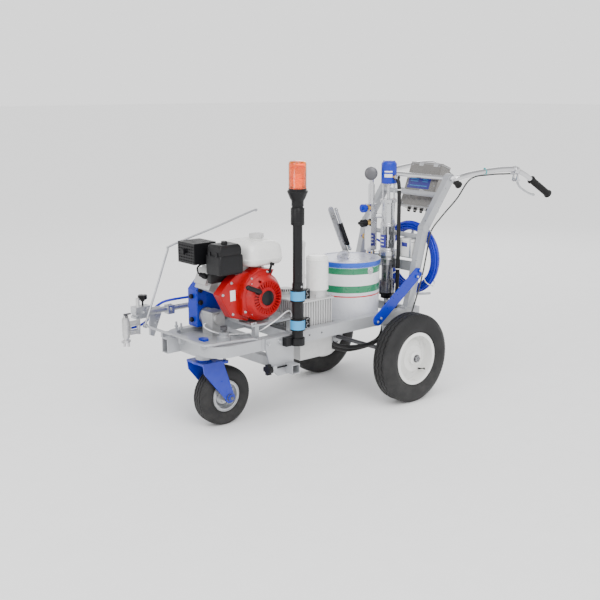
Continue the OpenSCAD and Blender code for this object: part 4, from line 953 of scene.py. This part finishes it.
def make_handlebar():
    line = mirrored(BAR_ROUTE[::-1], -1) + BAR_ROUTE
    bar = Kit()
    bar.tube(smooth_route(line, 8), 12.5, 32)
    for profile in ([(19, 0), (20, 1), (20, 26), (19, 27)], [(12, 0), (19, 0)], [(12, 27), (19, 27)]):
        bar.lathe(profile, (-752, 262, 999.5), (-26, 3, -7.5), 40)
    for y in (250, 273):
        bar.loft([[(-776 + 8 * cos(a) if a < pi else -765 + 8 * cos(a), yy,
                    (948 if a > pi else 988) + 8 * sin(a))
                   for a in ring_angles(32)] for yy in (y, y + 5)])
    bar.lathe([(0, 0), (3, 0), (3, 30), (0, 30)], (-776, 249, 948), Y, 20)
    bar.lathe([(0, 0), (6, 0), (6, 3), (0, 3.5)], (-776, 278, 948), Y, 6)
    bar.done("handle_bar", "chrome", crease=45, stands_for=("handlebar",))
    foot, tip = Vector(BAR_ROUTE[-2]), Vector(BAR_ROUTE[-1])
    grip = Kit()
    for sign in (1, -1):
        a, b = (Vector((p.x, sign * p.y, p.z)) for p in (foot, tip))
        length = (b - a).length
        profile = [(12.6, 0.04), (20.0, 0.04), (21, 0.05), (21, 0.07), (19, 0.085), (17, 0.09)]
        for k in range(22):
            t = 0.12 + 0.84 * k / 22
            profile += [(16.9, t), (15.6, t + 0.006), (15.6, t + 0.018), (16.9, t + 0.024)]
        profile += [(17, 0.98), (19, 0.995), (21, 1.005), (21, 1.035), (17.5, 1.05), (0, 1.05)]
        grip.lathe([(r, t * length) for r, t in profile], a, b - a, 40)
    grip.done("ribbed_grips", "grip_rubber", stands_for=("grips",))
    lever = Kit()
    lever.lathe([(3.2, 0), (8, 0), (9, 1), (9, 15), (8, 16), (3.2, 16)], (-776, 256, 948), Y, 32)
    route = smooth_route([(-779, 264, 944), (-800, 268, 912), (-860, 274, 880), (-904, 278, 866)], 10)
    lever.tube(route, lambda t: 5.8 - 1.0 * sin(pi * t), 20)
    lever.lathe([(0, -7), (4, -6.4), (6.2, -4), (7, 0), (6.2, 4), (4, 6.4), (0, 7)], (-899, 277.6, 867.6),
                (-44, 4, -14), 28)
    lever.done("brake_lever_bar", "zinc", "brake", stands_for=("brake_lever",))
    tie = Kit()
    tie.ring((-560, 239.5, 998), (1, -0.11, -0.08), 13.6, 1.2, 40, 8, flat=2.5)
    tie.box((-563, 234, 1011), (-556, 243, 1017), 1)
    tie.done("bar_tie", "tie_teal")


def make_cables():
    cable = Kit()
    cable.tube(smooth_route(CABLE_ROUTE, 8), 3.5, 16)
    cable.done("brake_cable_sleeve", "cable_black", crease=60, stands_for=("brake_cable",))
    ends = Kit()
    for i, j in ((0, 1), (-1, -2)):
        a, b = Vector(CABLE_ROUTE[i]), Vector(CABLE_ROUTE[j])
        ends.lathe([(0, -4), (4.6, -4), (5.2, 0), (5.2, 14), (3.6, 22), (0, 22)], a, b - a, 20)
    for k in (3, 6, 8):
        p, q = Vector(CABLE_ROUTE[k]), Vector(CABLE_ROUTE[k + 1])
        ends.ring(p, q - p, 4.2, 1.1, 24, 8, flat=2)
    ends.done("cable_ends", "zinc")
    hoses = Kit()
    hoses.tube(smooth_route(RETURN_ROUTE, 8), 11, 24)
    hoses.tube(smooth_route(FEED_ROUTE, 8), 9, 24)
    hoses.done("black_hoses", "hose_black", crease=60, stands_for=("hydraulic_hoses",))
    crimps = Kit()
    for route, r in ((RETURN_ROUTE, 11), (FEED_ROUTE, 9)):
        for i, j in ((0, 1), (-1, -2)):
            a, b = Vector(route[i]), Vector(route[j])
            profile = ((0.4, 1), (1.8, 2), (1.8, 12), (1.1, 13), (1.8, 14), (1.8, 24), (0.4, 26))
            crimps.lathe([(r + out, t) for out, t in profile], a, b - a, 28)
    crimps.done("hose_crimps", "zinc")
    band = Kit()
    for k in (9, 11):
        band.ring(FEED_ROUTE[k], Z, 10.2, 1.2, 32, 8, flat=2)
    band.done("hose_clips", "tie_white")


# ---- gun, guide and beacon ----

def make_gun_trim():
    clamp = Kit()
    for x in (876, 888):
        clamp.bolt((x, -300, 471), Z, 8, washer=False)
    clamp.bolt((882, -283, 455), Y, 11)
    clamp.bolt((1010, -301, 455), Y, 10)
    clamp.bolt((990, -301, 470), Y, 8)
    clamp.bolt((955, -296, 400), Y, 9)
    clamp.done("arm_bolts", "zinc", "arm")
    ring = Kit()
    for x in (640, 706):
        ring.ring((x, -300, 455), X, 14.4, 1.4, 36, 8)
    ring.done("arm_bushes", "zinc", "root")
    gun = Kit()
    for z in (366, 384, 404, 422):
        gun.ring((1086, -325, z), Z, 16.2, 1.2, 48, 8)
    gun.lathe([(11.2, 0), (12.4, 1), (12.4, 8), (11.2, 9)], (1086, -325, 343), Z, 6)
    gun.lathe([(7.4, 0), (8.6, 1), (8.6, 10), (7.4, 11)], (1060, -330, 390), X, 6)
    for z in (375, 413):
        gun.bolt((1052, -306, z), Y, 8, washer=False)
    gun.done("gun_trim", "cast_alloy", "gun")
    rod = Kit()
    y = -276
    knee = Vector((894, y, 725))
    foot = Vector((1020, y, 404))
    route = [foot + Vector((0, 0, 6)), (foot + knee) / 2, knee + Vector((6, 0, -16)),
             knee + Vector((-14, 0, 8)), (660, y, 787), (436, y, 846), (422, y, 842)]
    rod.tube(smooth_route(route, 10), 4.5, 20)
    rod.lathe([(4.6, 0), (9, 0), (10, 1), (10, 13), (9, 14), (4.6, 14), (4.6, 0)], (1020, y - 7, 404), Y, 32)
    rod.done("pointer_rod", "zinc", "pointer", stands_for=("guide_pointer",))


def make_beacon():
    cx, cy = MAST
    lens = Kit()
    rings = []
    for r, z, wave in ((36, 998.5, 0), (36, 1006, 0), (35.6, 1008, 1), (35.6, 1092, 1), (35.4, 1098, 0.4),
                       (34.2, 1102.5, 0), (31, 1105.5, 0), (18, 1107.6, 0), (6, 1108.4, 0)):
        rings.append([lens.vert((cx + (r - 0.8 * wave * (k % 2)) * cos(a),
                                 cy + (r - 0.8 * wave * (k % 2)) * sin(a), z))
                      for k, a in enumerate(ring_angles(96))])
    inner = [[lens.vert((cx + r * cos(a), cy + r * sin(a), z)) for a in ring_angles(96)]
             for r, z in ((6, 1104.5), (27, 1102), (31, 1098), (32, 1090), (32, 998.5))]
    skin = [[lens.vert((cx, cy, 1105))]] + inner + rings + [[lens.vert((cx, cy, 1108.6))]]
    for lower, upper in zip(skin, skin[1:]):
        lens.bridge(lower, upper)
    lens.done("beacon_dome", "amber_lens", "mast", crease=50, stands_for=("beacon_lens",))
    band = Kit()
    for z in (1001, 1040, 1082):
        band.ring((cx, cy, z), Z, 35.4, 0.8, 72, 8, flat=2)
    band.done("beacon_bands", "amber_lens", "mast")
    lamp = Kit()
    lamp.lathe([(0, 0), (19, 0), (19, 8), (15, 12), (15, 22), (19, 26), (19, 34), (15, 38), (15, 46),
                (17, 54), (0, 56)], (cx, cy, 997.5), Z, 48)
    lamp.done("beacon_lamp", "lamp_amber", "mast")
    base = Kit()
    base.lathe([(0, 470), (20, 470), (20, 850), (27, 851), (28, 854), (28, 918), (26.5, 921), (22.5, 922),
                (22.5, 926), (25, 927), (25, 946), (26, 950), (31, 958), (41, 982), (42, 985), (42, 989),
                (38, 991), (37, 992), (37, 998), (0, 998)], (cx, cy, 0), Z, 72)
    for z in (864, 905):
        base.ring((cx, cy, z), Z, 28, 0.7, 64, 8)
    base.done("beacon_stand", "black_metal", "mast", crease=35, stands_for=("beacon_mast",))
    bands = Kit()
    for z in (420, 542):
        arc_plate(bands, MAST, 30.1, 0.6, z, z + 38, -150, 150, 48)
    bands.done("clamp_bands", "band_blue")
    nuts = Kit()
    for z in (414, 536):
        for h in (14, 36):
            for sign in (1, -1):
                nuts.disc(8.5, 1.4, (cx - 46, cy + sign * 11.2, z + h), (0, sign, 0), 24, 0.4)
    nuts.disc(4, 4, (cx, cy + 23, 600), Y, 20)
    nuts.done("clamp_washers", "zinc")


def make_side_lever_trim():
    kit = Kit()
    kit.lathe([(0, 0), (9, 0), (9, 4), (7, 6), (0, 6)], (-118, -156, 440), Y, 20)
    for x, z in ((-50, 634), (40, 828)):
        kit.lathe([(0, 0), (7, 0), (7, 3), (5, 5), (0, 5)], (x, -146, z), Y, 20)
    kit.done("lever_pins", "zinc", "lever")
    spring = Kit()
    a, b = Vector((-52, -150, 630)), Vector((44, -150, 836))
    spring.lathe([(7, 0), (9.6, 2), (9.6, 118), (7, 121)], a + (b - a) * 0.12, b - a, 28)
    spring.done("lever_strut", "black_metal", "lever")


make_camera()
make_hose()
make_studio()
dress_cad_nodes()
make_wheels()
make_frame_trim()
make_engine_trim()
make_fuel_tank()
make_air_cleaner()
make_guard_trim()
make_tank_trim()
make_lid_handle()
make_pump_trim()
make_box_trim()
make_handlebar()
make_cables()
make_side_lever_trim()
make_gun_trim()
make_beacon()
